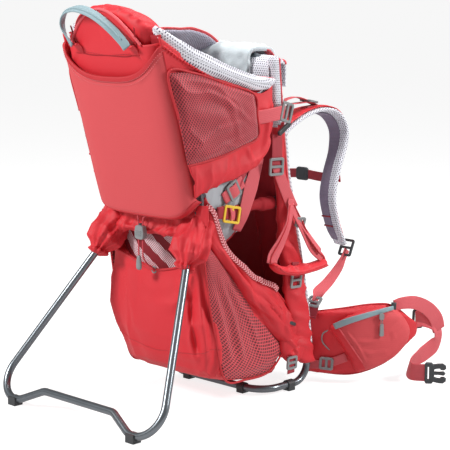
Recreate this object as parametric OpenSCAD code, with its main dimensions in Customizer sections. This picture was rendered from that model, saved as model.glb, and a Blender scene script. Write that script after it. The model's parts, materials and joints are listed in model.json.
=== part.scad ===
// Child carrier backpack: a bent-tube frame with a fold-in kickstand, a child's cockpit,
// a storage bag and a carrying harness.
// X is across the carrier, +Y is the way the wearer faces, +Z is up. The ground is z = 0.
// Millimetres. The soft parts are plain closed solids in the space the padding fills.

/* [Tubes] */
// Outside diameter of every frame tube
tube_d = 15; // [13:0.5:16]
// Wall of the frame tubes
tube_wall = 1.5; // [1:0.1:2]
// Half the distance between the two upright tubes
frame_half = 136; // [132:1:142]
// Height of the top cross tube
frame_top = 690; // [670:1:700]

/* [Kickstand] */
// Height of the kickstand hinge
pivot_z = 360; // [350:1:366]
// Place of the kickstand hinge behind the frame
pivot_y = -225; // [-232:1:-218]
// Backward lean of the open kickstand, from vertical
kick_angle = 32.3; // [30:0.1:35]
// Radius of the tube bend over each foot
kick_foot_r = 52; // [46:1:56]

/* [Cockpit] */
// Half the width of the cockpit at its sides
cockpit_half = 150; // [144:1:154]
// Backward lean of the cockpit's rear wall
cockpit_lean = 15; // [14:0.5:16]
// Thickness of the padded cockpit walls
cockpit_wall = 12; // [8:1:14]

/* [Bag] */
// Half the width of the storage bag
bag_half = 130; // [120:1:132]
// Thickness of the bag's cloth walls
bag_wall = 4; // [3:0.5:5]

/* [Harness] */
// Width of a shoulder strap
strap_w = 62; // [50:1:66]
// Thickness of a shoulder strap
strap_t = 14; // [10:1:16]
// Width of the hip belt webbing
hip_web_w = 38; // [30:1:40]
// Height of a hip wing at its middle
wing_h = 132; // [120:1:136]

/* [Hidden] */
$fn = 48;

tube_r = tube_d / 2;
bore_r = tube_r - tube_wall;      // inside of a tube
slip = 0.1;                       // clearance of a bore round a fixed tube
fuller = 0.15;                    // how much fuller a bend is than a straight run
clip_t = 4.5;                     // sole under a foot clip
clip_wrap = tube_r + 2.5;         // a clip's outside round its tube
tube_z = clip_t + tube_r;         // tube centre where it lies on its clips
loop_rear_y = -57;                // rear run of the base loop
loop_front_y = 88;                // where the base loop's sides turn up
bend_y = -6;                      // uprights: the shallow bend behind the wearer's back
bend_z = 450;
top_y = -28;                      // uprights at the top cross tube
joint_z = 300;                    // where the two frame tubes meet

function upright_y(z) = z < bend_z
    ? loop_front_y + (bend_y - loop_front_y) * (z - tube_z) / (bend_z - tube_z)
    : bend_y + (top_y - bend_y) * (z - bend_z) / (frame_top - bend_z);
low_lean = atan((loop_front_y - bend_y) / (bend_z - tube_z));

// Seat arms carry the cockpit, the kickstand hinges and a cross tube between these
arm_x = 122;
arm_z = pivot_z + 36;
arm_front_y = -9;
arm_rear_y = pivot_y - 12;
cross_y = pivot_y + 22;
cross_half = arm_x - 14;

// Kickstand, in its own plane: x across, s down the leg from the hinge
kick_length = (pivot_z - tube_z) / cos(kick_angle);
kick_arc = [178, kick_length - kick_foot_r];
kick_knee = [arm_x, 45];
kick_bar = [104, kick_length - 31];
kick_tube_start = 13;
pin_r = 4;
ear_gap = 17;                     // slot of the hinge bracket
ear_t = 7.5;

// Cockpit
rear_y = -257;                    // foot of the rear wall's outer face
rear_z = 395;
rear_half = 128;
pocket_t = 11;

// Hip wings
wing_centre = [42, 296, 0];       // the wing is an arc round this point
wing_r = 190;
wing_from = -71;
wing_to = 7;
wing_t = 18;
wing_z0 = 32;
hip_web_t = 2.6;

// Shoulder harness
stirrup_x = 168;

// ---------- vectors ----------
function unit(v) = v / norm(v);
function cross_or(a, b) = unit(cross(a, b));
function flip_x(points) = [for (i = [len(points) - 1 : -1 : 0]) [-points[i][0], points[i][1], points[i][2]]];
function round_angle(from, to) = acos(max(-1, min(1, from * to)));
function mirrored(points) = concat(points, flip_x(points));

// Places children with local x, y and z along three unit vectors, at a point
module frame_at(ox, oy, oz, at) {
    multmatrix([
        [ox[0], oy[0], oz[0], at[0]],
        [ox[1], oy[1], oz[1], at[1]],
        [ox[2], oy[2], oz[2], at[2]],
        [0, 0, 0, 1]
    ]) children();
}

// A straight run of round bar between two points, run on past each end by a little
module rod(from, to, r, past = 0) {
    along = unit(to - from);
    aside = abs(along[2]) < 0.9 ? [0, 0, 1] : [1, 0, 0];
    ox = cross_or(aside, along);
    frame_at(ox, cross(along, ox), along, from - along * past)
        cylinder(r = r, h = norm(to - from) + 2 * past);
}

// A bend of round bar: starts at a point going one way, and turns to another
module bend(start, from_dir, to_dir, bend_r, r) {
    inward = unit(to_dir - from_dir * (from_dir * to_dir));
    frame_at(-inward, from_dir, cross(-inward, from_dir), start + inward * bend_r)
        rotate_extrude(angle = round_angle(from_dir, to_dir), $fn = 64)
            translate([bend_r, 0]) circle(r);
}

// Round bar through a list of corners, each with its bend radius (the ends' radii are not used).
// A bend is fuller than the straight runs, so that each run ends inside it.
module bent_bar(corners, radii, r, past) {
    last = len(corners) - 1;
    dirs = [for (i = [0 : last - 1]) unit(corners[i + 1] - corners[i])];
    setback = [for (i = [0 : last]) i == 0 || i == last ? 0
        : radii[i] * tan(round_angle(dirs[i - 1], dirs[i]) / 2)];
    for (i = [0 : last - 1])
        rod(corners[i] + dirs[i] * setback[i], corners[i + 1] - dirs[i] * setback[i + 1], r, past);
    for (i = [1 : last - 1])
        bend(corners[i] - dirs[i - 1] * setback[i], dirs[i - 1], dirs[i], radii[i], r + fuller);
}

module bent_tube(corners, radii) {
    difference() {
        bent_bar(corners, radii, tube_r, 1.4);
        bent_bar(corners, radii, bore_r, 1.6);
    }
}

// Extrudes a side view, given as [y, z] points, across from x0 to x1
module side_plate(points, x0, x1) {
    translate([x0, 0, 0]) rotate([90, 0, 90]) linear_extrude(x1 - x0) polygon(points);
}

module both_sides() {
    children();
    mirror([1, 0, 0]) children();
}

module x_rod(r, x0, x1, y, z) {
    translate([x0, y, z]) rotate([0, 90, 0]) cylinder(r = r, h = x1 - x0);
}

// A band through a list of points, with the same small block at each
module ribbon(path, block) {
    for (i = [0 : len(path) - 2]) hull() {
        translate(path[i]) cube(block, center = true);
        translate(path[i + 1]) cube(block, center = true);
    }
}

// A ladder-lock frame: a flat ring with a centre bar, lying in the local x-y plane
module ladder_lock(width, length, thick) {
    bar = 4.5;
    difference() {
        translate([-width / 2, -length / 2, -thick / 2]) cube([width, length, thick]);
        for (side = [-1, 1])
            translate([-width / 2 + bar, side * length / 4 - length / 8, -thick])
                cube([width - 2 * bar, length / 4, 2 * thick]);
    }
}

// The cockpit's rear wall frame: local x across, y into the cockpit, z up the wall
module lean() {
    translate([0, rear_y, rear_z]) rotate([cockpit_lean, 0, 0]) children();
}

// ---------- frame tubes ----------
function on_upright(z) = [frame_half, upright_y(z), z];

module back_hoop() {
    half = [on_upright(joint_z + 2), on_upright(bend_z), [frame_half, top_y, frame_top]];
    color("slategray") bent_tube(mirrored(half), [0, 200, 60, 60, 200, 0]);
}

module base_loop() {
    half = [on_upright(joint_z - 2), [frame_half, loop_front_y, tube_z], [frame_half, loop_rear_y, tube_z]];
    color("slategray") bent_tube(mirrored(half), [0, 40, 45, 45, 40, 0]);
}

module joiner_sleeves() {
    sleeve = 60;
    color("dimgray") both_sides()
        translate(on_upright(joint_z)) rotate([low_lean, 0, 0]) difference() {
            cylinder(r = tube_r + 2.5, h = sleeve, center = true);
            cylinder(r = tube_r + slip, h = sleeve + 2, center = true);
        }
}

module straight_tube(from, to) {
    difference() {
        rod(from, to, tube_r);
        rod(from, to, bore_r, 1);
    }
}

module seat_arms() {
    color("slategray") both_sides() straight_tube([arm_x, arm_front_y, arm_z], [arm_x, arm_rear_y, arm_z]);
}

module seat_cross_tube() {
    color("slategray") straight_tube([-cross_half, cross_y, arm_z], [cross_half, cross_y, arm_z]);
}

// Moulded brackets that hold the seat arms' ends on the uprights
module frame_brackets() {
    socket_l = 34;
    at = on_upright(arm_z);
    color("dimgray") both_sides() difference() {
        union() {
            translate(at) rotate([low_lean, 0, 0]) cylinder(r = tube_r + 5, h = 44, center = true);
            translate([arm_x, arm_front_y - socket_l, arm_z]) rotate([-90, 0, 0])
                cylinder(r = tube_r + 4, h = socket_l + 6);
        }
        translate(at) rotate([low_lean, 0, 0]) cylinder(r = tube_r + slip, h = 70, center = true);
        translate([arm_x, arm_front_y - socket_l - 1, arm_z]) rotate([-90, 0, 0])
            cylinder(r = tube_r + slip, h = socket_l + 1.5);
    }
}

// Clevis under each seat arm for the kickstand's eye, with a socket for the cross tube
module hinge_brackets() {
    outer_w = ear_gap + 2 * ear_t;
    collar_r = tube_r + 5;
    socket_x = cross_half - 22;
    color("dimgray") both_sides() difference() {
        union() {
            translate([arm_x, pivot_y - 8, arm_z]) rotate([-90, 0, 0])
                cylinder(r = collar_r, h = cross_y - pivot_y + 22);
            x_rod(collar_r - 1, socket_x, arm_x, cross_y, arm_z);
            for (x0 = [arm_x - outer_w / 2, arm_x + ear_gap / 2]) {
                x_rod(13, x0, x0 + ear_t, pivot_y, pivot_z);
                translate([x0, pivot_y - 5, pivot_z]) cube([ear_t, 18, arm_z - pivot_z]);
            }
            translate([arm_x - outer_w / 2, pivot_y - 5, arm_z - 11]) cube([outer_w, 22, 6]);
        }
        translate([arm_x, pivot_y - 20, arm_z]) rotate([-90, 0, 0])
            cylinder(r = tube_r + slip, h = 90);
        x_rod(tube_r + slip, socket_x - 1, cross_half + 0.5, cross_y, arm_z);
        x_rod(pin_r, arm_x - outer_w, arm_x + outer_w, pivot_y, pivot_z);
    }
}

module hinge_pins() {
    half_l = ear_gap / 2 + ear_t;
    color("silver") both_sides() {
        x_rod(pin_r, arm_x - half_l - 3, arm_x + half_l + 3, pivot_y, pivot_z);
        x_rod(7, arm_x - half_l - 3, arm_x - half_l, pivot_y, pivot_z);
        x_rod(7, arm_x + half_l, arm_x + half_l + 3, pivot_y, pivot_z);
    }
}

// A moulded clip on a tube that runs along the local y axis, with a flat sole at z = 0
module foot_clip(length) {
    difference() {
        union() {
            translate([0, -length / 2, tube_z]) rotate([-90, 0, 0]) cylinder(r = clip_wrap, h = length);
            translate([-clip_wrap + 1, -length / 2, 0]) cube([2 * clip_wrap - 2, length, tube_z]);
        }
        translate([0, -length, tube_z]) rotate([-90, 0, 0]) cylinder(r = tube_r + slip, h = 2 * length);
    }
}

module base_foot_clips() {
    color("darkslategray") both_sides() {
        translate([80, loop_rear_y, 0]) rotate([0, 0, 90]) foot_clip(18);
        translate([frame_half, 24, 0]) foot_clip(18);
    }
}

// ---------- back system ----------
// Side view of a sheet that follows the uprights, between two offsets in y
function follow(y0, y1, z0, z1) = let (zs = z1 > bend_z ? [z0, bend_z, z1] : [z0, z1], n = len(zs) - 1)
    concat(
        [for (i = [0 : n]) [upright_y(zs[i]) + y0, zs[i]]],
        [for (i = [n : -1 : 0]) [upright_y(zs[i]) + y1, zs[i]]]
    );

module back_board() {
    color("whitesmoke") side_plate(follow(9.5, 11.5, 120, 655), -112, 112);
}

module back_panel() {
    color("gainsboro") side_plate(follow(13.5, 34, 90, 684), -147, 147);
}

module back_lining() {
    color("firebrick") side_plate(follow(-14, -11.5, 60, 650), -104, 104);
}

module lumbar_pad() {
    color("gainsboro") side_plate(follow(35, 58, 80, 195), -90, 90);
}

// Lower shoulder-strap webbing, from the panel's foot towards each strap buckle
module tail_webbing() {
    color("indianred") both_sides()
        ribbon([[127, 116, 190], [122, 142, 212]], [25, 2.4, 2.4]);
}

// Buckles sewn to the back system: strap anchors, top adjusters and side adjusters
module panel_buckles() {
    color("gray") both_sides() {
        translate([128, 108, 172]) rotate([50, 0, 0]) ladder_lock(32, 26, 5);
        translate([88, 15, 668]) rotate([80, 0, 0]) ladder_lock(28, 26, 5);
        translate([60, 21, 606]) rotate([80, 0, 0]) ladder_lock(26, 24, 5);
        translate([151, 18, 240]) rotate([78, 0, 90]) ladder_lock(30, 30, 5);
        translate([151, -38, 474]) rotate([80, 0, 90]) ladder_lock(30, 32, 5);
    }
}

// ---------- cockpit ----------
// Plan of the cockpit's wall, drawn in the leaning frame, open towards the wearer
module cockpit_plan(inset) {
    corner = 48;
    front = 420;
    offset(r = corner - inset, $fn = 32) polygon([
        [-rear_half + corner, pocket_t + 1 + corner], [rear_half - corner, pocket_t + 1 + corner],
        [cockpit_half - corner, 150], [cockpit_half - corner, front],
        [-cockpit_half + corner, front], [-cockpit_half + corner, 150]
    ]);
}

module cockpit_ring(wall, grow = 0) {
    lean() translate([0, 0, -60]) linear_extrude(560) difference() {
        cockpit_plan(-grow);
        cockpit_plan(wall);
    }
}

// The rim's line, from the front edge to the rear, and the hem's line
rim_line = [[-38, 634], [-74, 636], [-158, 662], [-250, 699], [-322, 738]];
hem_line = [[-246, 436], [-150, 456], [-74, 488], [-50, 548], [-38, 606]];

module cockpit_shell() {
    foot = [[-296, rear_z + 2], [-243, rear_z + 2]];
    color("crimson") intersection() {
        cockpit_ring(cockpit_wall);
        side_plate(concat(hem_line, rim_line, [[-390, 738]], foot), -200, 200);
    }
}

// Padded mesh band on top of the wall
module rim_pad() {
    pad = 30;
    gap = 1.5;
    low = [for (p = rim_line) p + [0, gap]];
    high = [for (i = [3 : -1 : 0]) rim_line[i] + [0, pad]];
    color("gainsboro") intersection() {
        cockpit_ring(cockpit_wall + 6, 2);
        side_plate(concat([for (i = [0 : 3]) low[i]], high), -200, 200);
    }
}

// Spring-steel wire behind the rear wall's pad, up round the headrest
module cockpit_wire() {
    wire_r = 2.5;
    half = [[84, 30, 20], [84, 30, 335]];
    color("silver") lean() bent_bar(mirrored(half), [0, 40, 40, 0], wire_r, 0.5);
}

module seat_back_board() {
    color("whitesmoke") lean() translate([-78, 26.5, 20]) cube([156, 2.5, 265]);
}

// Outline of the headrest in the wall's plane: an arch
module headrest_pad() {
    steps = 24;
    base_z = 352;
    rise = 62;
    color("crimson") lean() translate([0, 44, 0]) rotate([90, 0, 0]) linear_extrude(40)
        polygon([for (i = [0 : steps]) [118 * cos(180 * i / steps), base_z + rise * sin(180 * i / steps)]]);
}

// Big stretch pocket on the outside of the rear wall, with a dipped mouth and a rounded foot
module rear_pocket() {
    steps = 12;
    dip = 26;
    sag = 14;
    mouth_z = 322;
    mouth = [for (i = [0 : steps]) let (u = 1 - 2 * i / steps) [rear_half * u, mouth_z - dip * (1 - u * u)]];
    foot = [for (i = [0 : steps]) let (u = 2 * i / steps - 1) [(rear_half - 12) * u, -sag * (1 - u * u)]];
    color("lightcoral") lean() translate([0, pocket_t, 0]) rotate([90, 0, 0])
        linear_extrude(pocket_t) polygon(concat(mouth, foot));
}

// Fleece pad folded over the top of the back panel, in front of the child's face
module chin_pad() {
    fleece = 9;
    top = 700;
    y0 = upright_y(frame_top) - 16;
    y1 = y0 + 60;
    front_z = 688;
    outside = [[y0 - fleece, 640], [y0 - fleece, top - 3], [y0, top + fleece], [y1, top + fleece - 3]];
    inside = [[y1, front_z], [y1, top], [y0, top], [y0, 640]];
    color("lightsteelblue") side_plate(concat(
        outside, [[y1 + fleece, top - 8], [y1 + fleece, front_z]], inside
    ), -98, 98);
}

// Cloth flaps from the cockpit's hem down to the bag, one each side
module side_flaps() {
    color("firebrick") both_sides() side_plate([
        [-128, 420], [-60, 322], [2, 196], [2, 120], [-20, 110], [-132, 252]
    ], bag_half + 1, bag_half + 4);
}

// ---------- bag ----------
// Side view of the bag's cloth, inset from its outside
function bag_side(inset) = [
    [-221 + inset, 262], [-224 + inset, 120], [-206 + inset, 78 + inset * 0.5], [-150, 56 + inset],
    [-60, 40 + inset], [4 - inset, 38 + inset], [12 - inset, 60], [0 - inset, 262]
];

module storage_bag() {
    color("crimson") difference() {
        side_plate(bag_side(0), -bag_half, bag_half);
        side_plate(concat([[-221 + bag_wall, 300]], bag_side(bag_wall), [[-bag_wall, 300]]),
            -bag_half + bag_wall, bag_half - bag_wall);
    }
}

module mesh_pockets() {
    color("indianred") both_sides() side_plate([
        [-196, 236], [-170, 92], [-60, 50], [-4, 52], [-6, 100], [-40, 105], [-134, 236]
    ], bag_half + 0.5, bag_half + 8);
}

// Webbing and buckles that pull the bag in towards the frame
module compression_straps() {
    color("gray") both_sides() {
        translate([146, 12, 64]) rotate([85, 0, 90]) ladder_lock(28, 26, 5);
        ribbon([[146, 11, 52], [146, 20, 34]], [2.4, 22, 2.4]);
    }
}

cord_x = 6;
cord_y = -263;
cord_r = 1.5;
button_r = 3.2;

module drawcord() {
    color("indianred") both_sides()
        translate([cord_x, cord_y, 300]) cylinder(r = cord_r, h = 72);
}

module cord_lock() {
    color("gray") difference() {
        translate([-10, cord_y - 6, 338]) cube([20, 12, 24]);
        for (side = [-1, 1]) translate([side * cord_x, cord_y, 330]) cylinder(r = cord_r + 0.4, h = 40);
        translate([0, cord_y, 352]) cylinder(r = button_r + slip, h = 20);
    }
}

module cord_lock_button() {
    color("dimgray") translate([0, cord_y, 356]) cylinder(r = button_r, h = 12);
}

// ---------- child seat ----------
// Shoulder webbing and buckles of the child's harness, on the cockpit's rear wall
module child_harness() {
    color("lightcoral") lean() both_sides() {
        translate([32, 34, 60]) cube([24, 4, 220]);
        translate([30, 39, 150]) cube([28, 5, 16]);
    }
}

// Trough the child sits in, hung between the rear wall and the wearer's side
module seat_saddle() {
    hide = 5;
    low = [[-186, 420], [-170, 344], [-120, 316], [-62, 330], [-44, 404]];
    high = [
        [-44 - hide, 404 + hide], [-62 - hide, 337], [-120, 323], [-170 + hide, 350], [-186 + hide, 420 + hide]
    ];
    color("lightgray") side_plate(concat(low, high), -48, 48);
}

// Yellow ladder lock that sets the seat's height
module seat_adjuster() {
    color("gold") translate([62, -122, 384]) rotate([80, 0, 70]) ladder_lock(36, 34, 6);
}

module cockpit_straps() {
    color("lightcoral") both_sides() translate([cockpit_half + 4, -96, 568]) cube([2.4, 58, 26]);
}

module cockpit_buckles() {
    color("lightgray") both_sides() translate([cockpit_half + 5.2, -14, 581]) rotate([90, 0, 90])
        ladder_lock(38, 34, 6);
}

// ---------- kickstand ----------
// Angle of a line from p that just touches a circle, on the side given by sign
function touch_angle(p, centre, r, sign) = let (w = centre - p)
    atan2(w[1], w[0]) + sign * asin(r / norm(w));
// Where a line from p at one angle meets a line from q at another
function meet(p, pa, q, qa) = let (
        a = [cos(pa), sin(pa)], b = [cos(qa), sin(qa)], w = q - p,
        t = (w[0] * b[1] - w[1] * b[0]) / (a[0] * b[1] - a[1] * b[0])
    ) p + a * t;
leg_angle = touch_angle(kick_knee, kick_arc, kick_foot_r, -1);
bar_angle = touch_angle(kick_bar, kick_arc, kick_foot_r, 1);
kick_corner = meet(kick_knee, leg_angle, kick_bar, bar_angle);
function in_kick(p) = [p[0], pivot_y - p[1] * sin(kick_angle), pivot_z - p[1] * cos(kick_angle)];

module kickstand_tube() {
    half = [for (p = [[arm_x, kick_tube_start], kick_knee, kick_corner, kick_bar]) in_kick(p)];
    color("slategray")
        bent_tube(mirrored(half), [0, 60, kick_foot_r, 30, 30, kick_foot_r, 60, 0]);
}

// Plugs in the leg ends, each with an eye for the hinge pin
module kickstand_eyes() {
    width = ear_gap - 1;
    running = 0.06;
    color("dimgray") both_sides() difference() {
        union() {
            x_rod(11, arm_x - width / 2, arm_x + width / 2, pivot_y, pivot_z);
            rod(in_kick([arm_x, 6]), in_kick([arm_x, 32]), bore_r - slip);
        }
        x_rod(pin_r + running, arm_x - width, arm_x + width, pivot_y, pivot_z);
    }
}

module kickstand_foot_clips() {
    color("darkslategray") both_sides() {
        foot = in_kick([kick_arc[0], kick_length]);
        difference() {
            translate([foot[0] - 11, foot[1] - clip_wrap, 0]) cube([22, 2 * clip_wrap, tube_z + 5]);
            frame_at([-1, 0, 0], [0, -sin(kick_angle), -cos(kick_angle)],
                [0, -cos(kick_angle), sin(kick_angle)], in_kick(kick_arc))
                rotate_extrude($fn = 64) translate([kick_foot_r, 0]) circle(tube_r + fuller + slip);
        }
    }
}

// Gathered cloth cuffs at the top of each leg
module kickstand_sleeves() {
    color("indianred") both_sides()
        difference() {
            rod(in_kick([arm_x, 30]), in_kick([arm_x, 42]), 24);
            rod(in_kick([arm_x, 28]), in_kick([arm_x, 44]), tube_r + 1.5);
        }
}

// ---------- shoulder harness ----------
strap_path = [
    [68, 40, 508], [71, 68, 536], [75, 112, 560], [79, 160, 571], [84, 205, 562],
    [89, 228, 528], [93, 222, 486], [98, 198, 440], [105, 178, 386], [111, 186, 330], [115, 206, 290]
];

module shoulder_strap() {
    for (i = [0 : len(strap_path) - 2]) {
        w0 = strap_w - 2.2 * i;
        hull() {
            translate(strap_path[i]) cube([w0, strap_t, strap_t], center = true);
            translate(strap_path[i + 1]) cube([w0 - 2.2, strap_t, strap_t], center = true);
        }
    }
}

module shoulder_strap_right() {
    color("gainsboro") shoulder_strap();
}

module shoulder_strap_left() {
    color("gainsboro") mirror([1, 0, 0]) shoulder_strap();
}

module load_lifters() {
    color("indianred") both_sides()
        ribbon([[63, 46, 592], [70, 90, 583], [76, 124, 584]], [24, 2.4, 2.4]);
}

module strap_buckles() {
    color("gray") both_sides() {
        translate([77, 142, 584]) rotate([10, 0, 0]) ladder_lock(32, 26, 5);
        translate([116, 222, 272]) rotate([50, 0, 0]) ladder_lock(32, 30, 6);
    }
}

sternum_y = 210;
sternum_z = 424;

module sternum_webbing() {
    color("indianred") {
        translate([16, sternum_y, sternum_z - 10]) cube([100, 2.4, 20]);
        translate([-116, sternum_y, sternum_z - 10]) cube([100, 2.4, 20]);
    }
}

module sternum_buckle() {
    color("gray") difference() {
        translate([-15.5, sternum_y - 4, sternum_z - 15]) cube([31, 10, 30]);
        for (side = [-1, 1]) translate([side * 6 - 2, sternum_y - 6, sternum_z - 8]) cube([4, 14, 16]);
    }
}

// ---------- hip belt ----------
// Each wing is an arc in plan, from its root beside the lumbar pad to its tip
module wing_band(r_in, r_out, from, to) {
    translate(wing_centre) rotate([0, 0, from]) rotate_extrude(angle = to - from, $fn = 96)
        translate([r_in, 0]) square([r_out - r_in, 200]);
}

module hip_wing() {
    top = wing_z0 + wing_h;
    intersection() {
        wing_band(wing_r - wing_t / 2, wing_r + wing_t / 2, wing_from, wing_to);
        side_plate([
            [90, wing_z0 + 6], [250, wing_z0], [296, wing_z0 + 28], [326, wing_z0 + 62], [330, wing_z0 + 92],
            [300, top - 4], [200, top], [100, top - 14]
        ], 80, 260);
    }
}

module hip_wing_right() {
    color("firebrick") hip_wing();
}

module hip_wing_left() {
    color("firebrick") mirror([1, 0, 0]) hip_wing();
}

module hip_pocket() {
    gap = 0.6;
    bulge = 24;
    intersection() {
        wing_band(wing_r + wing_t / 2 + gap, wing_r + wing_t / 2 + bulge, wing_from + 22, wing_to - 2);
        side_plate([[120, wing_z0 + 22], [262, wing_z0 + 22], [312, wing_z0 + 60], [314, wing_z0 + 96],
            [284, wing_z0 + 112], [130, wing_z0 + 92]], 100, 290);
    }
}

module hip_pocket_right() {
    color("indianred") hip_pocket();
}

module hip_pocket_left() {
    color("indianred") mirror([1, 0, 0]) hip_pocket();
}

// Slider and pull tab of the pocket's zip, which runs round the wing's outer face
module zip_pull() {
    translate(wing_centre) rotate([0, 0, -28]) {
        translate([wing_r + wing_t / 2 + 25, 0, 124]) cube([3, 9, 5]);
        translate([wing_r + wing_t / 2 + 26, 0.5, 106]) cube([2, 8, 18]);
    }
}

module zip_pull_right() {
    color("lightsteelblue") zip_pull();
}

module zip_pull_left() {
    color("lightsteelblue") mirror([1, 0, 0]) zip_pull();
}

hip_strap_path = [
    [231, 334, 116], [238, 358, 115], [247, 376, 100], [249, 382, 78], [249, 372, 58],
    [250, 343, 46], [254, 300, 36], [262, 262, 27], [282, 247, 24], [304, 257, 24]
];

module hip_strap() {
    ribbon(hip_strap_path, [hip_web_t, hip_web_t, hip_web_w]);
}

module hip_strap_right() {
    color("indianred") hip_strap();
}

module hip_strap_left() {
    color("indianred") mirror([1, 0, 0]) hip_strap();
}

module hip_adjuster() {
    translate([228, 336, 116]) rotate([90, 0, 75]) ladder_lock(20, 46, 4);
}

module hip_adjuster_right() {
    color("dimgray") hip_adjuster();
}

module hip_adjuster_left() {
    color("dimgray") mirror([1, 0, 0]) hip_adjuster();
}

// Buckle halves lie along a line that leaves the end of the hip strap
strap_end = [308, 261, 24];
strap_end_turn = 36;

module at_strap_end() {
    translate(strap_end) rotate([0, 0, strap_end_turn]) children();
}

module hip_buckle_male() {
    color("dimgray") at_strap_end() {
        difference() {
            translate([0, -4, -21]) cube([16, 8, 42]);
            translate([4, -5, -16]) cube([6, 10, 32]);
        }
        for (z0 = [-17, 11]) translate([16, -3, z0]) cube([26, 6, 6]);
        translate([16, -2.5, -2]) cube([24, 5, 4]);
    }
}

module hip_buckle_female() {
    reach = 42 - 3 * tan(strap_end_turn);   // as far out as the male half's prongs
    color("dimgray") mirror([1, 0, 0]) at_strap_end() difference() {
        translate([0, -6, -21]) cube([reach, 12, 42]);
        translate([14, -4, -18]) cube([reach, 8, 36]);
        translate([3, -8, -16]) cube([6, 16, 32]);
    }
}

// ---------- handle, stirrups ----------
handle_path = [
    [-80, -364, 716], [-97, -370, 744], [-92, -376, 770], [-62, -380, 784], [-22, -380, 782],
    [20, -376, 766], [56, -370, 742], [80, -364, 716]
];

module carry_handle() {
    color("lightsteelblue") ribbon(handle_path, [7, 20, 5]);
}

module stirrup() {
    loop = [[0, 384], [-38, 330], [-66, 282], [-40, 264], [30, 258], [76, 268], [44, 326], [6, 384]];
    ribbon([for (p = loop) [stirrup_x, p[0], p[1]]], [22, 4, 4]);
    translate([stirrup_x - 12, -4, 380]) cube([24, 12, 12]);
}

module stirrup_right() {
    color("indianred") stirrup();
}

module stirrup_left() {
    color("indianred") mirror([1, 0, 0]) stirrup();
}

// ---------- placing ----------
// The origin is on the ground, in the middle of the whole
back_reach = in_kick([0, kick_length])[1] - clip_wrap;
front_reach = hip_strap_path[3][1] + hip_web_t / 2;
module place() {
    translate([0, -(back_reach + front_reach) / 2, 0]) children();
}

place() back_hoop();
place() base_loop();
place() joiner_sleeves();
place() seat_arms();
place() seat_cross_tube();
place() frame_brackets();
place() hinge_brackets();
place() hinge_pins();
place() base_foot_clips();
place() back_board();
place() back_panel();
place() back_lining();
place() lumbar_pad();
place() cockpit_shell();
place() cockpit_wire();
place() rim_pad();
place() headrest_pad();
place() seat_back_board();
place() rear_pocket();
place() chin_pad();
place() side_flaps();
place() storage_bag();
place() mesh_pockets();
place() child_harness();
place() cockpit_straps();
place() cockpit_buckles();
place() panel_buckles();
place() tail_webbing();
place() drawcord();
place() compression_straps();
place() kickstand_tube();
place() kickstand_eyes();
place() kickstand_foot_clips();
place() kickstand_sleeves();
place() shoulder_strap_right();
place() shoulder_strap_left();
place() load_lifters();
place() strap_buckles();
place() sternum_webbing();
place() sternum_buckle();
place() hip_wing_right();
place() hip_wing_left();
place() hip_pocket_right();
place() hip_pocket_left();
place() zip_pull_right();
place() zip_pull_left();
place() hip_strap_right();
place() hip_strap_left();
place() hip_adjuster_right();
place() hip_adjuster_left();
place() hip_buckle_male();
place() hip_buckle_female();
place() carry_handle();
place() stirrup_right();
place() stirrup_left();
place() cord_lock();
place() cord_lock_button();
place() seat_saddle();
place() seat_adjuster();
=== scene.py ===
import json
import math

import bmesh
import bpy
import numpy as np
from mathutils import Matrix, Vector


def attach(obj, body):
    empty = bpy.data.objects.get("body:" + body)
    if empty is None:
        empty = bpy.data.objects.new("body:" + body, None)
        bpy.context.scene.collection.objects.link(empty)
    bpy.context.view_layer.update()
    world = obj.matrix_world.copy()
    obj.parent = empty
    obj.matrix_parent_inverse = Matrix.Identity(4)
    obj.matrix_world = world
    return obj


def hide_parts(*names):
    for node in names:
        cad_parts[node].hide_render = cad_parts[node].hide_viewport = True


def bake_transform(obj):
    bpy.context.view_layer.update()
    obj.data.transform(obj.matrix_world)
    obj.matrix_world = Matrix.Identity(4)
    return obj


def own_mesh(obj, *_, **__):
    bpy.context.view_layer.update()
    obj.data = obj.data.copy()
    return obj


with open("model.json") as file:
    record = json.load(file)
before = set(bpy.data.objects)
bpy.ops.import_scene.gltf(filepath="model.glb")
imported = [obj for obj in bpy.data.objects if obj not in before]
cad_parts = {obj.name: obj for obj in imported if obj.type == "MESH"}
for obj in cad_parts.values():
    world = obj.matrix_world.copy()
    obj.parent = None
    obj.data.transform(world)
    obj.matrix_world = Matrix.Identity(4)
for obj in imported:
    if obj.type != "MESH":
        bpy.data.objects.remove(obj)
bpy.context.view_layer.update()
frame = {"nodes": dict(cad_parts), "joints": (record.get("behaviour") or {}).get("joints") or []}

# Lengths are in millimetres, in the carrier's own axes: X across, +Y the way the wearer faces, Z up.
# The frame's Y origin is the middle of the whole, so every place is moved by SHIFT on its way in.
JOINTS = {joint["name"]: joint for joint in frame["joints"]}
PIVOT = np.array([0.0, -225.0, JOINTS["kickstand_fold"]["pos_m"][2] * 1000])
SHIFT = JOINTS["kickstand_fold"]["pos_m"][1] * 1000 - PIVOT[1]


def metres(points):
    out = np.array(points, float)
    out[..., 1] += SHIFT
    return out / 1000


# ---------------------------------------------------------------- numbers and curves
def lerp(a, b, t):
    return a + (b - a) * t


def smooth(t):
    t = np.clip(t, 0, 1)
    return t * t * (3 - 2 * t)


def unit(v):
    return v / np.maximum(np.linalg.norm(v, axis=-1, keepdims=True), 1e-12)


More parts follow.
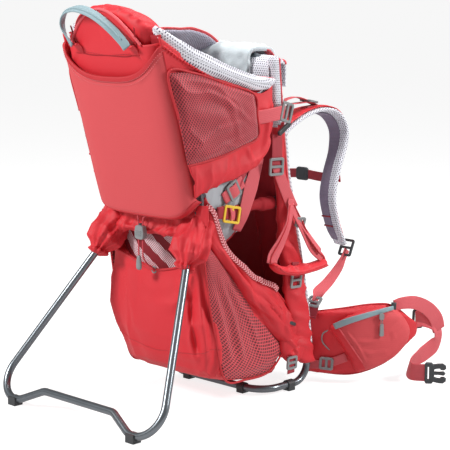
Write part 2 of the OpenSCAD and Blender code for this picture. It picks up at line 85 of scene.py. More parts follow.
def curve(points, count):
    """A smooth line through the points, as `count` evenly spaced ones."""
    p = np.array(points, float)
    if len(p) == 2:
        return lerp(p[0], p[1], np.linspace(0, 1, count)[:, None])
    ring = np.array([2 * p[0] - p[1], *p, 2 * p[-1] - p[-2]])
    fine = []
    for i in range(len(ring) - 3):
        a, b, c, d = ring[i : i + 4]
        t = np.linspace(0, 1, 24, endpoint=False)[:, None]
        fine.append(0.5 * (2 * b + (c - a) * t + (2 * a - 5 * b + 4 * c - d) * t**2
                           + (3 * b - a - 3 * c + d) * t**3))
    fine = np.concatenate([*fine, ring[-2][None]])
    along = np.concatenate([[0], np.cumsum(np.linalg.norm(np.diff(fine, axis=0), axis=1))])
    at = np.linspace(0, along[-1], count)
    return np.stack([np.interp(at, along, fine[:, k]) for k in range(fine.shape[1])], -1)


def value_noise(points, size, seed=0):
    """Smooth noise in -1..1 with bumps about `size` millimetres across."""
    q = np.asarray(points, float) / size
    cell = np.floor(q).astype(np.int64)
    f = smooth(q - cell)
    total = np.zeros(q.shape[:-1])
    for corner in range(8):
        bits = np.array([corner & 1, corner >> 1 & 1, corner >> 2 & 1])
        c = cell + bits
        h = (c[..., 0] * 374761393 + c[..., 1] * 668265263 + c[..., 2] * 2147483647
             + seed * 974711) & 0xFFFFFFFF
        h = ((h ^ (h >> 13)) * 1274126177) & 0xFFFFFFFF
        h = (h ^ (h >> 16)) & 0xFFFF
        weight = np.prod(np.where(bits, f, 1 - f), axis=-1)
        total += weight * (h / 32767.5 - 1)
    return total


def crease(points, line, width, depth, taper=0.25):
    """How far each point is moved by a fold along a line: a ridge, with a hollow beside it."""
    line = np.array(line, float)
    best = np.full(points.shape[:-1], 1e9)
    where = np.zeros(points.shape[:-1])
    lengths = np.linalg.norm(np.diff(line, axis=0), axis=1)
    total = lengths.sum()
    start = 0.0
    for a, b, length in zip(line[:-1], line[1:], lengths):
        d = (b - a) / length
        t = np.clip(((points - a) * d).sum(-1), 0, length)
        dist = np.linalg.norm(points - (a + t[..., None] * d), axis=-1)
        closer = dist < best
        best = np.where(closer, dist, best)
        where = np.where(closer, (start + t) / total, where)
        start += length
    fade = smooth(where / taper) * smooth((1 - where) / taper)
    q = best / width
    return depth * fade * (1 - q * q) * np.exp(-q * q)


# ---------------------------------------------------------------- materials
class Look:
    """Builds one node material, step by step."""

    def __init__(self, name):
        self.material = bpy.data.materials.new(name)
        self.material.use_nodes = True
        self.tree = self.material.node_tree
        self.shader = self.tree.nodes["Principled BSDF"]

    def node(self, kind, **inputs):
        made = self.tree.nodes.new(kind)
        for key, value in inputs.items():
            if key in made.inputs:
                self.feed(made.inputs[key], value)
            else:
                setattr(made, key, value)
        return made

    def feed(self, socket, value):
        if isinstance(value, bpy.types.NodeSocket):
            self.tree.links.new(value, socket)
        elif isinstance(value, (tuple, list)) and len(value) == 3 and socket.type == "RGBA":
            socket.default_value = (*value, 1)
        else:
            socket.default_value = value

    def math(self, operation, a, b=0.0):
        made = self.tree.nodes.new("ShaderNodeMath")
        made.operation = operation
        self.feed(made.inputs[0], a)
        self.feed(made.inputs[1], b)
        return made.outputs[0]

    def mix(self, factor, a, b):
        made = self.tree.nodes.new("ShaderNodeMix")
        made.data_type = "RGBA"
        self.feed(made.inputs["Factor"], factor)
        self.feed(made.inputs["A"], a)
        self.feed(made.inputs["B"], b)
        return made.outputs["Result"]

    def mm(self):
        """The cloth's own coordinates across and along, in millimetres."""
        flat = self.node("ShaderNodeTexCoord").outputs["UV"]
        split = self.node("ShaderNodeSeparateXYZ", Vector=flat)
        across, along = (self.math("MULTIPLY", split.outputs[k], 1000.0) for k in (0, 1))
        return across, along

    def place(self):
        return self.node("ShaderNodeTexCoord").outputs["Object"]

    def noise(self, scale, detail=3.0):
        return self.node("ShaderNodeTexNoise", Vector=self.place(), Scale=scale, Detail=detail).outputs["Fac"]

    def wave(self, length, period):
        return self.math("SINE", self.math("MULTIPLY", length, 2 * math.pi / period))

    def bump(self, height, strength, distance):
        made = self.node("ShaderNodeBump", Height=height, Strength=strength, Distance=distance)
        if self.shader.inputs["Normal"].is_linked:
            self.tree.links.new(self.shader.inputs["Normal"].links[0].from_socket, made.inputs["Normal"])
        self.feed(self.shader.inputs["Normal"], made.outputs["Normal"])

    def set(self, **inputs):
        for key, value in inputs.items():
            self.feed(self.shader.inputs[key.replace("_", " ")], value)

    def varied(self, colour, spread, scale=14.0):
        """A colour with soft, uneven patches, as dyed cloth has."""
        dark = tuple(c * (1 - spread) for c in colour)
        light = tuple(min(1.0, c * (1 + spread)) for c in colour)
        return self.mix(self.noise(scale), dark, light)


def woven(name, colour, period=1.3, rough=0.56, sheen=0.25, rib=0.0, spread=0.07):
    look = Look(name)
    u, v = look.mm()
    weave = look.math("MULTIPLY", look.wave(u, period), look.wave(v, period))
    if rib:
        weave = look.math("ADD", weave, look.math("MULTIPLY", look.wave(v, rib), 0.8))
    tint = look.math("ADD", look.math("MULTIPLY", weave, 0.10), 0.5)
    base = look.varied(colour, spread)
    thread = look.mix(tint, tuple(c * 0.86 for c in colour), tuple(min(1, c * 1.14) for c in colour))
    look.set(Base_Color=look.mix(0.5, base, thread), Roughness=rough)
    look.set(Sheen_Weight=sheen * 0.35, Sheen_Roughness=0.4, Sheen_Tint=(1.0, 0.55, 0.5),
             Specular_IOR_Level=0.5)
    look.bump(weave, 0.22, 0.0004)
    look.bump(look.noise(60.0, 4.0), 0.10, 0.002)
    return look.material


def webbing(name, colour, rough=0.62):
    look = Look(name)
    u, v = look.mm()
    rib = look.wave(v, 1.9)
    weft = look.wave(u, 3.4)
    height = look.math("ADD", rib, look.math("MULTIPLY", weft, 0.6))
    shade = look.math("ADD", look.math("MULTIPLY", height, 0.14), 0.5)
    dark = tuple(c * 0.74 for c in colour)
    light = tuple(min(1, c * 1.18) for c in colour)
    look.set(Base_Color=look.mix(shade, dark, light), Roughness=rough, Sheen_Weight=0.08)
    look.bump(height, 0.35, 0.0005)
    return look.material


def spacer_mesh(name, light, dark, across=6.4, along=4.6, hole=1.25):
    """Soft 3D mesh: a light face with staggered dark cells."""
    look = Look(name)
    u, v = look.mm()
    row = look.math("FLOOR", look.math("DIVIDE", v, along))
    odd = look.math("MULTIPLY", look.math("FLOORED_MODULO", row, 2.0), across / 2)
    cu = look.math("SUBTRACT", look.math("FLOORED_MODULO", look.math("ADD", u, odd), across), across / 2)
    cv = look.math("SUBTRACT", look.math("FLOORED_MODULO", v, along), along / 2)
    reach = look.math("SQRT", look.math("ADD", look.math("MULTIPLY", cu, cu), look.math("MULTIPLY", cv, cv)))
    inside = look.node("ShaderNodeMapRange", Value=reach)
    inside.inputs["From Min"].default_value = hole * 0.75
    inside.inputs["From Max"].default_value = hole * 1.3
    face = look.mix(look.noise(30.0), tuple(c * 0.93 for c in light), light)
    look.set(Base_Color=look.mix(inside.outputs[0], dark, face), Roughness=0.85, Sheen_Weight=0.2)
    look.bump(inside.outputs[0], 0.8, 0.0012)
    look.bump(look.math("MULTIPLY", look.wave(u, 0.9), look.wave(v, 0.9)), 0.15, 0.0003)
    return look.material


def open_mesh(name, thread, gap, pitch=4.4, slant=0.9, width=0.32):
    """Open net: two sets of slanting threads over darker gaps."""
    look = Look(name)
    u, v = look.mm()
    slope = look.math("MULTIPLY", v, slant)
    first = look.wave(look.math("ADD", u, slope), pitch)
    second = look.wave(look.math("SUBTRACT", u, slope), pitch)
    web = look.math("MAXIMUM", first, second)
    cover = look.node("ShaderNodeMapRange", Value=web)
    cover.inputs["From Min"].default_value = 1 - 2.4 * width
    cover.inputs["From Max"].default_value = 1 - 0.9 * width
    patches = look.noise(26.0, 4.0)
    lit = look.mix(patches, tuple(c * 0.72 for c in thread), tuple(min(1, c * 1.25) for c in thread))
    look.set(Base_Color=look.mix(cover.outputs[0], gap, lit), Roughness=0.6, Sheen_Weight=0.2)
    look.bump(cover.outputs[0], 0.5, 0.0008)
    return look.material


def striped_net(name, thread, gap, period=5.0, band=52.0):
    """Dark cloth with bands of pale striped net showing through."""
    look = Look(name)
    u, v = look.mm()
    stripe = look.math("GREATER_THAN", look.wave(look.math("ADD", u, v), period), -0.2)
    across = look.math("ADD", look.math("MULTIPLY", u, 0.75), v)
    shown = look.math("GREATER_THAN", look.wave(across, band), -0.1)
    look.set(Base_Color=look.mix(look.math("MULTIPLY", stripe, shown), gap, thread), Roughness=0.75)
    look.bump(stripe, 0.4, 0.0006)
    return look.material


def fleece(name, colour):
    look = Look(name)
    fuzz = look.noise(420.0, 5.0)
    patch = look.noise(38.0, 4.0)
    shade = look.mix(patch, tuple(c * 0.86 for c in colour), tuple(min(1, c * 1.06) for c in colour))
    look.set(Base_Color=look.mix(look.math("MULTIPLY", fuzz, 0.35), shade, tuple(c * 0.8 for c in colour)))
    look.set(Roughness=0.95, Sheen_Weight=0.6, Sheen_Roughness=0.6)
    look.bump(fuzz, 0.5, 0.0015)
    look.bump(patch, 0.35, 0.004)
    return look.material


def moulded(name, colour, rough=0.42):
    look = Look(name)
    grain = look.noise(900.0, 2.0)
    base = look.varied(colour, 0.08, 40.0)
    look.set(Base_Color=base, Roughness=look.math("ADD", look.math("MULTIPLY", grain, 0.15), rough - 0.07))
    look.bump(grain, 0.12, 0.0002)
    return look.material


def anodised(name, colour, rough=0.32):
    look = Look(name)
    streak = look.node("ShaderNodeTexNoise", Vector=look.place(), Scale=240.0, Detail=2.0).outputs["Fac"]
    worn = look.noise(18.0, 5.0)
    tone = look.mix(worn, tuple(c * 0.88 for c in colour), tuple(min(1, c * 1.12) for c in colour))
    look.set(Base_Color=tone, Metallic=0.85)
    look.set(Roughness=look.math("ADD", look.math("MULTIPLY", streak, 0.08), rough))
    return look.material


def herringbone(name, light, dark, pitch=4.6):
    look = Look(name)
    u, v = look.mm()
    side = look.math("ABSOLUTE", look.math("SUBTRACT", look.math("FLOORED_MODULO", u, 9.0), 4.5))
    slant = look.wave(look.math("ADD", v, side), pitch)
    look.set(Base_Color=look.mix(look.math("GREATER_THAN", slant, 0.0), dark, light), Roughness=0.7)
    look.bump(slant, 0.4, 0.0006)
    return look.material


RED = (0.68, 0.018, 0.030)
CORAL = (0.66, 0.066, 0.076)
# The darkest red is the main red darkened to stand for deep shade: the 'deep' look made from it is painted
# shade wherever it is used.
PAINTED_SHADE_RED = (0.36, 0.004, 0.012)
LOOKS = {
    "red": woven("red_cloth", RED),
    "coral": woven("coral_stretch", CORAL, period=1.0, rib=4.2, rough=0.66, sheen=0.4, spread=0.04),
    "deep": woven("red_lining", PAINTED_SHADE_RED, rough=0.8, sheen=0.1),
    "tape": woven("red_binding", tuple(c * 0.8 for c in RED), period=2.0),
    "web": webbing("coral_webbing", (0.72, 0.10, 0.12)),
    "web_dark": webbing("dark_red_webbing", (0.42, 0.02, 0.035)),
    "air": spacer_mesh("air_mesh", (0.80, 0.80, 0.86), (0.11, 0.09, 0.14), 5.8, 4.4, 1.2),
    # The second air mesh is the white mesh darkened: painted shade on it.
    "air_shaded": spacer_mesh("air_mesh_painted_shade", (0.52, 0.50, 0.60), (0.15, 0.12, 0.19), 4.6, 3.8, 1.0),
    # The third air mesh is the white mesh darker still and lilac-tinged: painted deep shade on it.
    "air_deep_shaded": spacer_mesh("air_mesh_painted_deep_shade", (0.30, 0.235, 0.335), (0.14, 0.10, 0.16), 3.4, 3.0, 0.9),
    "net": open_mesh("cockpit_net", (0.60, 0.05, 0.07), (0.11, 0.003, 0.008), pitch=6.0),
    "pocket_net": open_mesh("pocket_net", (0.72, 0.07, 0.09), (0.10, 0.003, 0.008), pitch=6.6, slant=0.75),
    "hex_net": striped_net("lining_net", (0.80, 0.62, 0.66), (0.22, 0.003, 0.012)),
    "fleece": fleece("pale_fleece", (0.56, 0.63, 0.66)),
    "satin": woven("grey_satin", (0.42, 0.44, 0.47), rough=0.5, sheen=0.5),
    "grey_tape": woven("grey_blue_tape", (0.27, 0.385, 0.42), period=1.6, rough=0.6),
    "stitch": woven("thread", (0.80, 0.22, 0.24), period=0.8),
    "stitch_dark": woven("dark_thread", (0.30, 0.01, 0.02), period=0.8),
    "piping": woven("coral_piping", (0.80, 0.10, 0.12), period=1.0),
    "trim": herringbone("herringbone_trim", (0.82, 0.36, 0.38), (0.36, 0.01, 0.02), 6.5),
    "tube": anodised("anodised_tube", (0.20, 0.22, 0.24), 0.26),
    "steel": anodised("spring_steel", (0.55, 0.56, 0.58), 0.25),
    "dark_plastic": moulded("dark_plastic", (0.045, 0.048, 0.052)),
    "buckle": moulded("grey_buckle", (0.25, 0.26, 0.265), 0.36),
    "hip_buckle": moulded("hip_buckle_plastic", (0.055, 0.06, 0.066), 0.38),
    "yellow": moulded("yellow_plastic", (0.86, 0.56, 0.04), 0.35),
    "board": moulded("sheet_plastic", (0.70, 0.71, 0.72), 0.5),
    "cord": webbing("draw_cord", (0.62, 0.06, 0.08)),
}


# ---------------------------------------------------------------- meshes
def piece(name, points, faces, look, body="frame", uv=None, replaces=()):
    mesh = bpy.data.meshes.new(name)
    mesh.from_pydata(metres(points).tolist(), [], [list(map(int, f)) for f in faces])
    mesh.polygons.foreach_set("use_smooth", [True] * len(mesh.polygons))
    if uv is not None:
        layer = mesh.uv_layers.new(name="cloth")
        corner = np.zeros(len(mesh.loops), int)
        mesh.loops.foreach_get("vertex_index", corner)
        layer.data.foreach_set("uv", (np.asarray(uv, float)[corner] / 1000).ravel())
    mesh.validate()
    made = bpy.data.objects.new(name, mesh)
    bpy.context.scene.collection.objects.link(made)
    made.data.materials.append(LOOKS[look])
    if body:
        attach(made, body)
    if replaces:
        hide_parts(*replaces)
    return made


def grid_normals(p, outward=None):
    across = np.gradient(p, axis=0)
    along = np.gradient(p, axis=1)
    n = unit(np.cross(across, along))
    if outward is not None:
        want = np.array(outward, float)
        if want.ndim == 1 and (n.reshape(-1, 3) @ want).mean() < 0:
            n = -n
        elif want.ndim > 1 and (n * want).sum(-1).mean() < 0:
            n = -n
    return n


def grid_uv(p):
    across = np.concatenate([[0], np.cumsum(np.linalg.norm(np.diff(p, axis=0), axis=-1).mean(1))])
    along = np.concatenate([[0], np.cumsum(np.linalg.norm(np.diff(p, axis=1), axis=-1).mean(0))])
    return np.stack(np.meshgrid(across, along, indexing="ij"), -1)


def sheet(name, p, look, thick=1.6, outward=(0, 0, 1), **where):
    """A closed cloth shell over a grid of points."""
    nu, nv = p.shape[:2]
    n = grid_normals(p, outward)
    inner = p - n * thick
    uv = grid_uv(p)
    points = np.concatenate([p.reshape(-1, 3), inner.reshape(-1, 3)])
    uvs = np.concatenate([uv.reshape(-1, 2), uv.reshape(-1, 2) + thick])
    index = np.arange(nu * nv).reshape(nu, nv)
    flip = (np.cross(p[1, 0] - p[0, 0], p[0, 1] - p[0, 0]) @ n[0, 0]) < 0
    faces = []
    for i in range(nu - 1):
        for j in range(nv - 1):
            quad = [index[i, j], index[i + 1, j], index[i + 1, j + 1], index[i, j + 1]]
            faces.append(quad[::-1] if flip else quad)
    back = [[q + nu * nv for q in f[::-1]] for f in faces]
    edges = [(index[:, 0], 1), (index[:, nv - 1], 0), (index[0, :], 0), (index[nu - 1, :], 1)]
    border = []
    for line, turn in edges:
        for a, b in zip(line[:-1], line[1:]):
            quad = [a, b, b + nu * nv, a + nu * nv]
            border.append(quad[::-1] if bool(turn) != flip else quad)
    return piece(name, points, faces + back + border, look, uv=uvs, **where)


def ring_solid(name, rings, look, **where):
    """A closed solid lofted through rings of equal length, capped at both ends."""
    rings = np.array(rings, float)
    nv, nu = rings.shape[:2]
    points = rings.reshape(-1, 3)
    faces = []
    for j in range(nv - 1):
        for i in range(nu):
            k = (i + 1) % nu
            faces.append([j * nu + i, j * nu + k, (j + 1) * nu + k, (j + 1) * nu + i])
    ends = np.array([rings[0].mean(0), rings[-1].mean(0)])
    a, b = len(points), len(points) + 1
    for i in range(nu):
        k = (i + 1) % nu
        faces.append([a, k, i])
        faces.append([b, (nv - 1) * nu + i, (nv - 1) * nu + k])
    around = np.concatenate([[0], np.cumsum(np.linalg.norm(np.diff(rings[nv // 2], axis=0), axis=1))])
    along = np.concatenate([[0], np.cumsum(np.linalg.norm(np.diff(rings.mean(1), axis=0), axis=1))])
    uv = np.stack(np.meshgrid(along, around, indexing="ij")[::-1], -1).reshape(-1, 2)
    uv = np.concatenate([uv, [[0, along[0]], [0, along[-1]]]])
    points = np.concatenate([points, ends])
    flux = 0.0
    for f in faces[: nu * (nv - 1) : max(1, nu * nv // 400)]:
        q = points[f]
        flux += np.cross(q[1] - q[0], q[2] - q[0]) @ (q.mean(0) - rings.mean(1)[min(nv - 1, f[0] // nu)])
    if flux < 0:
        faces = [f[::-1] for f in faces]
    return piece(name, points, faces, look, uv=uv, **where)


def path_frames(path, facing):
    """Tangent, face normal and side direction along a path. facing is one vector or one for each point."""
    tangent = unit(np.gradient(path, axis=0))
    facing = np.broadcast_to(np.array(facing, float), path.shape)
    side = unit(np.cross(tangent, facing))
    return tangent, np.cross(side, tangent), side


def strap(name, points, facing, width, look, thick=1.8, count=None, square=5.0, **where):
    """Flat webbing along a smooth path. facing gives its face's direction at each point."""
    count = count or max(8, int(np.linalg.norm(np.diff(np.array(points, float), axis=0), axis=1).sum() / 5))
    path = curve(points, count)
    facing = np.array(facing, float)
    if facing.ndim == 2:
        facing = curve(facing, count)
    widths = width if np.ndim(width) == 0 else curve(np.array(width, float)[:, None], count)[:, 0]
    thicks = thick if np.ndim(thick) == 0 else curve(np.array(thick, float)[:, None], count)[:, 0]
    _, normal, side = path_frames(path, facing)
    angle = np.linspace(0, 2 * np.pi, 20, endpoint=False) + 0.01
    c = np.sign(np.cos(angle)) * np.abs(np.cos(angle)) ** (2 / square)
    s = np.sign(np.sin(angle)) * np.abs(np.sin(angle)) ** (2 / square)
    half_w = np.broadcast_to(np.asarray(widths, float) / 2, (count,))[:, None, None]
    half_t = np.broadcast_to(np.asarray(thicks, float) / 2, (count,))[:, None, None]
    rings = (path[:, None] + side[:, None] * c[None, :, None] * half_w
             + normal[:, None] * s[None, :, None] * half_t)
    return ring_solid(name, rings, look, **where)


def cord(name, points, radius, look, count=None, sides=10, **where):
    count = count or max(8, int(np.linalg.norm(np.diff(np.array(points, float), axis=0), axis=1).sum() / 4))
    path = curve(points, count)
    tangent = unit(np.gradient(path, axis=0))
    normal = np.zeros_like(path)
    seed = np.array([0.0, 0.0, 1.0]) if abs(tangent[0][2]) < 0.9 else np.array([1.0, 0.0, 0.0])
    normal[0] = unit(np.cross(tangent[0], seed))
    for i in range(1, count):
        n = normal[i - 1] - tangent[i] * (normal[i - 1] @ tangent[i])
        normal[i] = unit(n)
    side = np.cross(tangent, normal)
    angle = np.linspace(0, 2 * np.pi, sides, endpoint=False)
    r = np.broadcast_to(np.asarray(radius, float), (count,))[:, None, None]
    rings = path[:, None] + r * (normal[:, None] * np.cos(angle)[None, :, None]
                                 + side[:, None] * np.sin(angle)[None, :, None])
    return ring_solid(name, rings, look, **where)


def stitches(name, points, facing, look="stitch", pitch=4.6, length=3.0, radius=0.42, lift=0.5, **where):
    """A row of small raised thread stitches along a path."""
    path = curve(points,
                 max(8, int(np.linalg.norm(np.diff(np.array(points, float), axis=0), axis=1).sum() / pitch)))
    facing = np.array(facing, float)
    if facing.ndim == 2:
        facing = curve(facing, len(path))
    tangent, normal, side = path_frames(path, facing)
    profile = [(-0.5, 0.25), (-0.35, 1.0), (0.35, 1.0), (0.5, 0.25)]
    points_out, faces = [], []
    for p, t, n, s in zip(path, tangent, normal, side):
        base = len(points_out)
        for along, r in profile:
            for k in range(6):
                a = k * math.pi / 3
                points_out.append(p + n * lift + t * along * length + (n * math.cos(a) + s * math.sin(a))
                                  * radius * r)
        for j in range(3):
            for k in range(6):
                q = (k + 1) % 6
                faces.append([base + j * 6 + k, base + j * 6 + q, base + j * 6 + 6 + q, base + j * 6 + 6 + k])
        faces.append([base + k for k in range(6)][::-1])
        faces.append([base + 18 + k for k in range(6)])
    return piece(name, np.array(points_out), faces, look, **where)


def mirrored(original, name, body=None, replaces=()):
    """The same piece for the other side of the carrier."""
    mesh = original.data.copy()
    mesh.name = name
    flat = np.zeros(len(mesh.vertices) * 3)
    mesh.vertices.foreach_get("co", flat)
    flat[0::3] *= -1
    mesh.vertices.foreach_set("co", flat)
    mesh.flip_normals()
    made = bpy.data.objects.new(name, mesh)
    bpy.context.scene.collection.objects.link(made)
    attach(made, body or "frame")
    if replaces:
        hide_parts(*replaces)
    return made


def bake(made):
    """Turns a piece's modifiers into its mesh."""
    depsgraph = bpy.context.evaluated_depsgraph_get()
    mesh = bpy.data.meshes.new_from_object(made.evaluated_get(depsgraph), depsgraph=depsgraph)
    made.modifiers.clear()
    made.data = mesh
    mesh.polygons.foreach_set("use_smooth", [True] * len(mesh.polygons))
    return made


def coords(mesh):
    flat = np.zeros(len(mesh.vertices) * 3)
    mesh.vertices.foreach_get("co", flat)
    return flat.reshape(-1, 3)


def normals(mesh):
    flat = np.zeros(len(mesh.vertices) * 3)
    mesh.vertices.foreach_get("normal", flat)
    return flat.reshape(-1, 3)


def puff(made, voxel=5.0, pressure=4.0, cap=9.0, shape=None):
    """Blows a stuffed piece up as sewn cloth. cap limits how far any point moves, in millimetres."""
    remesh = made.modifiers.new("remesh", "REMESH")
    remesh.mode = "VOXEL"
    remesh.voxel_size = voxel / 1000
    bake(made)
    rest = coords(made.data)
    cloth = made.modifiers.new("cloth", "CLOTH")
    cloth.settings.quality = 4
    cloth.settings.mass = 0.3
    cloth.settings.tension_stiffness = 12
    cloth.settings.compression_stiffness = 12
    cloth.settings.bending_stiffness = 0.4
    cloth.settings.use_pressure = True
    cloth.settings.uniform_pressure_force = pressure
    cloth.settings.effector_weights.gravity = 0
    cloth.point_cache.frame_start = 1
    cloth.point_cache.frame_end = 20
    for number in range(1, 21):
        bpy.context.scene.frame_set(number)
    depsgraph = bpy.context.evaluated_depsgraph_get()
    shown = made.evaluated_get(depsgraph)
    moved = coords(shown.data) - rest
    made.modifiers.clear()
    bpy.context.scene.frame_set(1)
    n = normals(made.data)
    moved = n * np.clip((moved * n).sum(1), 0, cap / 1000)[:, None]
    made.data.vertices.foreach_set("co", (rest + moved).ravel())
    divide = made.modifiers.new("divide", "SUBSURF")
    divide.levels = divide.render_levels = 1
    bake(made)
    if shape:
        p = coords(made.data) * 1000
        p[:, 1] -= SHIFT
        p = p + shape(p, normals(made.data))
        made.data.vertices.foreach_set("co", metres(p).ravel())
    return made


def unwrap(made, flatten):
    """Gives a remeshed piece cloth coordinates, from each point's place."""
    mesh = made.data
    while mesh.uv_layers:
        mesh.uv_layers.remove(mesh.uv_layers[0])
    p = coords(mesh) * 1000
    p[:, 1] -= SHIFT
    uv = flatten(p)
    corner = np.zeros(len(mesh.loops), int)
    mesh.loops.foreach_get("vertex_index", corner)
    mesh.uv_layers.new(name="cloth").data.foreach_set("uv", (uv[corner] / 1000).ravel())


def box_solid(name, outline, depth, look, place, bevel=1.0, holes=(), **where):
    """A moulded plate: a 2D outline with holes, extruded and bevelled, put in place by a function."""
    flat = bpy.data.curves.new(name + "_outline", "CURVE")
    flat.dimensions = "2D"
    flat.fill_mode = "BOTH"
    flat.extrude = depth / 2 - bevel
    flat.bevel_depth = bevel
    flat.bevel_resolution = 2
    for loop in [outline, *holes]:
        spline = flat.splines.new("POLY")
        spline.points.add(len(loop) - 1)
        for point, (x, y) in zip(spline.points, loop):
            point.co = (x, y, 0, 1)
        spline.use_cyclic_u = True
    shape = bpy.data.objects.new(name + "_outline", flat)
    bpy.context.scene.collection.objects.link(shape)
    depsgraph = bpy.context.evaluated_depsgraph_get()
    mesh = bpy.data.meshes.new_from_object(shape.evaluated_get(depsgraph))
    bpy.data.objects.remove(shape)
    work = bmesh.new()
    work.from_mesh(mesh)
    bmesh.ops.remove_doubles(work, verts=work.verts, dist=0.01)
    bmesh.ops.recalc_face_normals(work, faces=work.faces)
    points = np.array([v.co[:] for v in work.verts])
    faces = [[v.index for v in f.verts] for f in work.faces]
    work.free()
    made = piece(name, place(points), faces, look, **where)
    made.data.polygons.foreach_set("use_smooth", [False] * len(made.data.polygons))
    return made


def rounded(width, height, radius, steps=5):
    out = []
    for cx, cy, start in ((1, 1, 0), (-1, 1, 90), (-1, -1, 180), (1, -1, 270)):
        for k in range(steps + 1):
            a = math.radians(start + 90 * k / steps)
            out.append((cx * (width / 2 - radius) + radius * math.cos(a),
                        cy * (height / 2 - radius) + radius * math.sin(a)))
    return out


def shifted(loop, dx, dy):
    return [(x + dx, y + dy) for x, y in loop]


def oriented(centre, across, along):
    """A placing function: local x and y along two directions, local z along their cross product."""
    ax, ay = unit(np.array(across, float)), np.array(along, float)
    ay = unit(ay - ax * (ay @ ax))
    az = np.cross(ax, ay)
    centre = np.array(centre, float)
    return lambda p: centre + p[:, :1] * ax + p[:, 1:2] * ay + p[:, 2:3] * az


def ladder_lock(name, centre, across, along, width, length, look="buckle", **where):
    """A ladder-lock buckle: an outer frame, a middle bar and two slots."""
    bar = 3.2
    slot_w = width - 2 * bar
    slot_l = (length - 3 * bar) / 2
    holes = [shifted(rounded(slot_w, slot_l, 1.5), 0, side * (slot_l + bar) / 2) for side in (-1, 1)]
    return box_solid(name, rounded(width, length, 4.0), 4.4, look, oriented(centre, across, along), 1.1,
                     holes, **where)


# ---------------------------------------------------------------- the carrier's own shapes
LEAN = math.radians(15)
REAR_FOOT = (-257.0, 395.0)


def lean(x, ly, lz):
    """From the rear wall's frame (across, into the cockpit, up the wall) to the carrier's."""
    x, ly, lz = np.broadcast_arrays(*(np.asarray(a, float) for a in (x, ly, lz)))
    y = REAR_FOOT[0] + ly * math.cos(LEAN) - lz * math.sin(LEAN)
    z = REAR_FOOT[1] + ly * math.sin(LEAN) + lz * math.cos(LEAN)
    return np.stack([x, y, z], -1)


REARWARD = lean(0, -1, 0) - lean(0, 0, 0)


def upright_y(z):
    z = np.asarray(z, float)
    low = 88 - 94 * (z - 12) / 438
    high = -6 - 22 * (z - 450) / 240
    return np.where(z < 450, low, high)


def coons(bottom, top, left, right, nu, nv):
    """A patch between four edges. bottom and top run the same way, and so do left and right."""
    b, t = curve(bottom, nu), curve(top, nu)
    l, r = curve(left, nv), curve(right, nv)
    u = np.linspace(0, 1, nu)[:, None, None]
    v = np.linspace(0, 1, nv)[None, :, None]
    ruled = lerp(b[:, None], t[:, None], v) + lerp(l[None], r[None], u)
    corners = lerp(lerp(b[0], b[-1], u), lerp(t[0], t[-1], u), v)
    return ruled - corners


def wrinkle(p, size, depth, seed, n):
    return p + n * (value_noise(p, size, seed) * depth)[..., None]


def fold_height(p, along, across, length, seed):
    """Sharp-topped folds that run one way: `across` apart and about `length` long. -1..1."""
    a = unit(np.array(along, float))
    run = (p * a).sum(-1, keepdims=True)
    warp = value_noise(p, 70, seed + 50)[..., None] * across * 0.6
    q = (p - a * run + warp) / across + a * run / length
    return 1 - 2 * np.abs(value_noise(q, 1.0, seed)) ** 0.7


def folds(p, along, across, length, depth, seed, n):
    return p + n * (fold_height(p, along, across, length, seed) * depth)[..., None]


# ---------------------------------------------------------------- rear wall, pocket and headrest
def pocket_face(s, t):
    """The rear pocket's outer face: s is -1..1 across and t is 0..1 from foot to mouth."""
    q = np.sin(s * math.pi / 2)
    low = -14 + 28 * np.abs(q) ** 8
    high = 334 - 58 * (1 - np.abs(q) ** 3.2)
    lz = lerp(low, high, t)
    up = np.clip((lz + 14) / 350, 0, 1)
    half = lerp(133, 140, up)
    depth = lerp(38, 32, up)
    ly = lerp(26, 18, up) - depth * (1 - np.abs(q) ** 5.5) ** (1 / 3.0)
    ly = ly + 16 * np.clip(1 - t / 0.045, 0, 1) ** 2
    return lean(half * q, ly, lz)


def pocket_grid(t0, t1, nt, ns=97, lift=0.0):
    p = pocket_face(np.linspace(-1, 1, ns)[:, None], np.linspace(t0, t1, nt)[None])
    n = grid_normals(p, REARWARD)
    edge = smooth((1 - np.abs(np.linspace(-1, 1, ns))) / 0.1)[:, None, None]
    p = wrinkle(p, 110, 2.6, 3, n * edge)
    for side in (-1, 1):
        line = [lean(side * x, -18, lz) for x, lz in ((104, 300), (112, 150), (120, 30))]
        p = p + n * crease(p, line, 8, 2.2)[..., None]
        line = [lean(side * x, -14, lz) for x, lz in ((132, 318), (112, 286), (70, 262))]
        p = p + n * crease(p, line, 7, 1.8)[..., None]
    return p + n * lift, n


def rear_pocket():
    p, n = pocket_grid(0, 1, 81)
    body = sheet("rear_pocket_panel", p, "coral", 2.2, REARWARD, replaces=("rear_pocket",))
    band, n = pocket_grid(0.968, 1.004, 5, lift=1.5)
    sheet("rear_pocket_binding", band, "tape", 4.6, REARWARD)
    for name, t, lift in (("upper", 0.972, 1.9), ("lower", 0.945, 0.4)):
        line, n = pocket_grid(t, t + 0.002, 2, lift=lift)
        stitches(f"rear_pocket_stitch_{name}", line[:, 0], n[:, 0], "stitch", pitch=5)
    foot, n = pocket_grid(0.004, 0.03, 4, lift=1.4)
    sheet("rear_pocket_hem", foot, "tape", 3.6, REARWARD)


ARCH_HALF, ARCH_FOOT, ARCH_RISE = 98, 338, 68


def back_sheet_point(s, t):
    x = 131 * s
    arch = np.clip(1 - (np.abs(x) / ARCH_HALF) ** 1.9, 0, 1)
    lz = lerp(150, ARCH_FOOT + ARCH_RISE * arch**0.9, t)
    ly = -3 + 24 * np.abs(s) ** 12
    return lean(x, ly, lz)


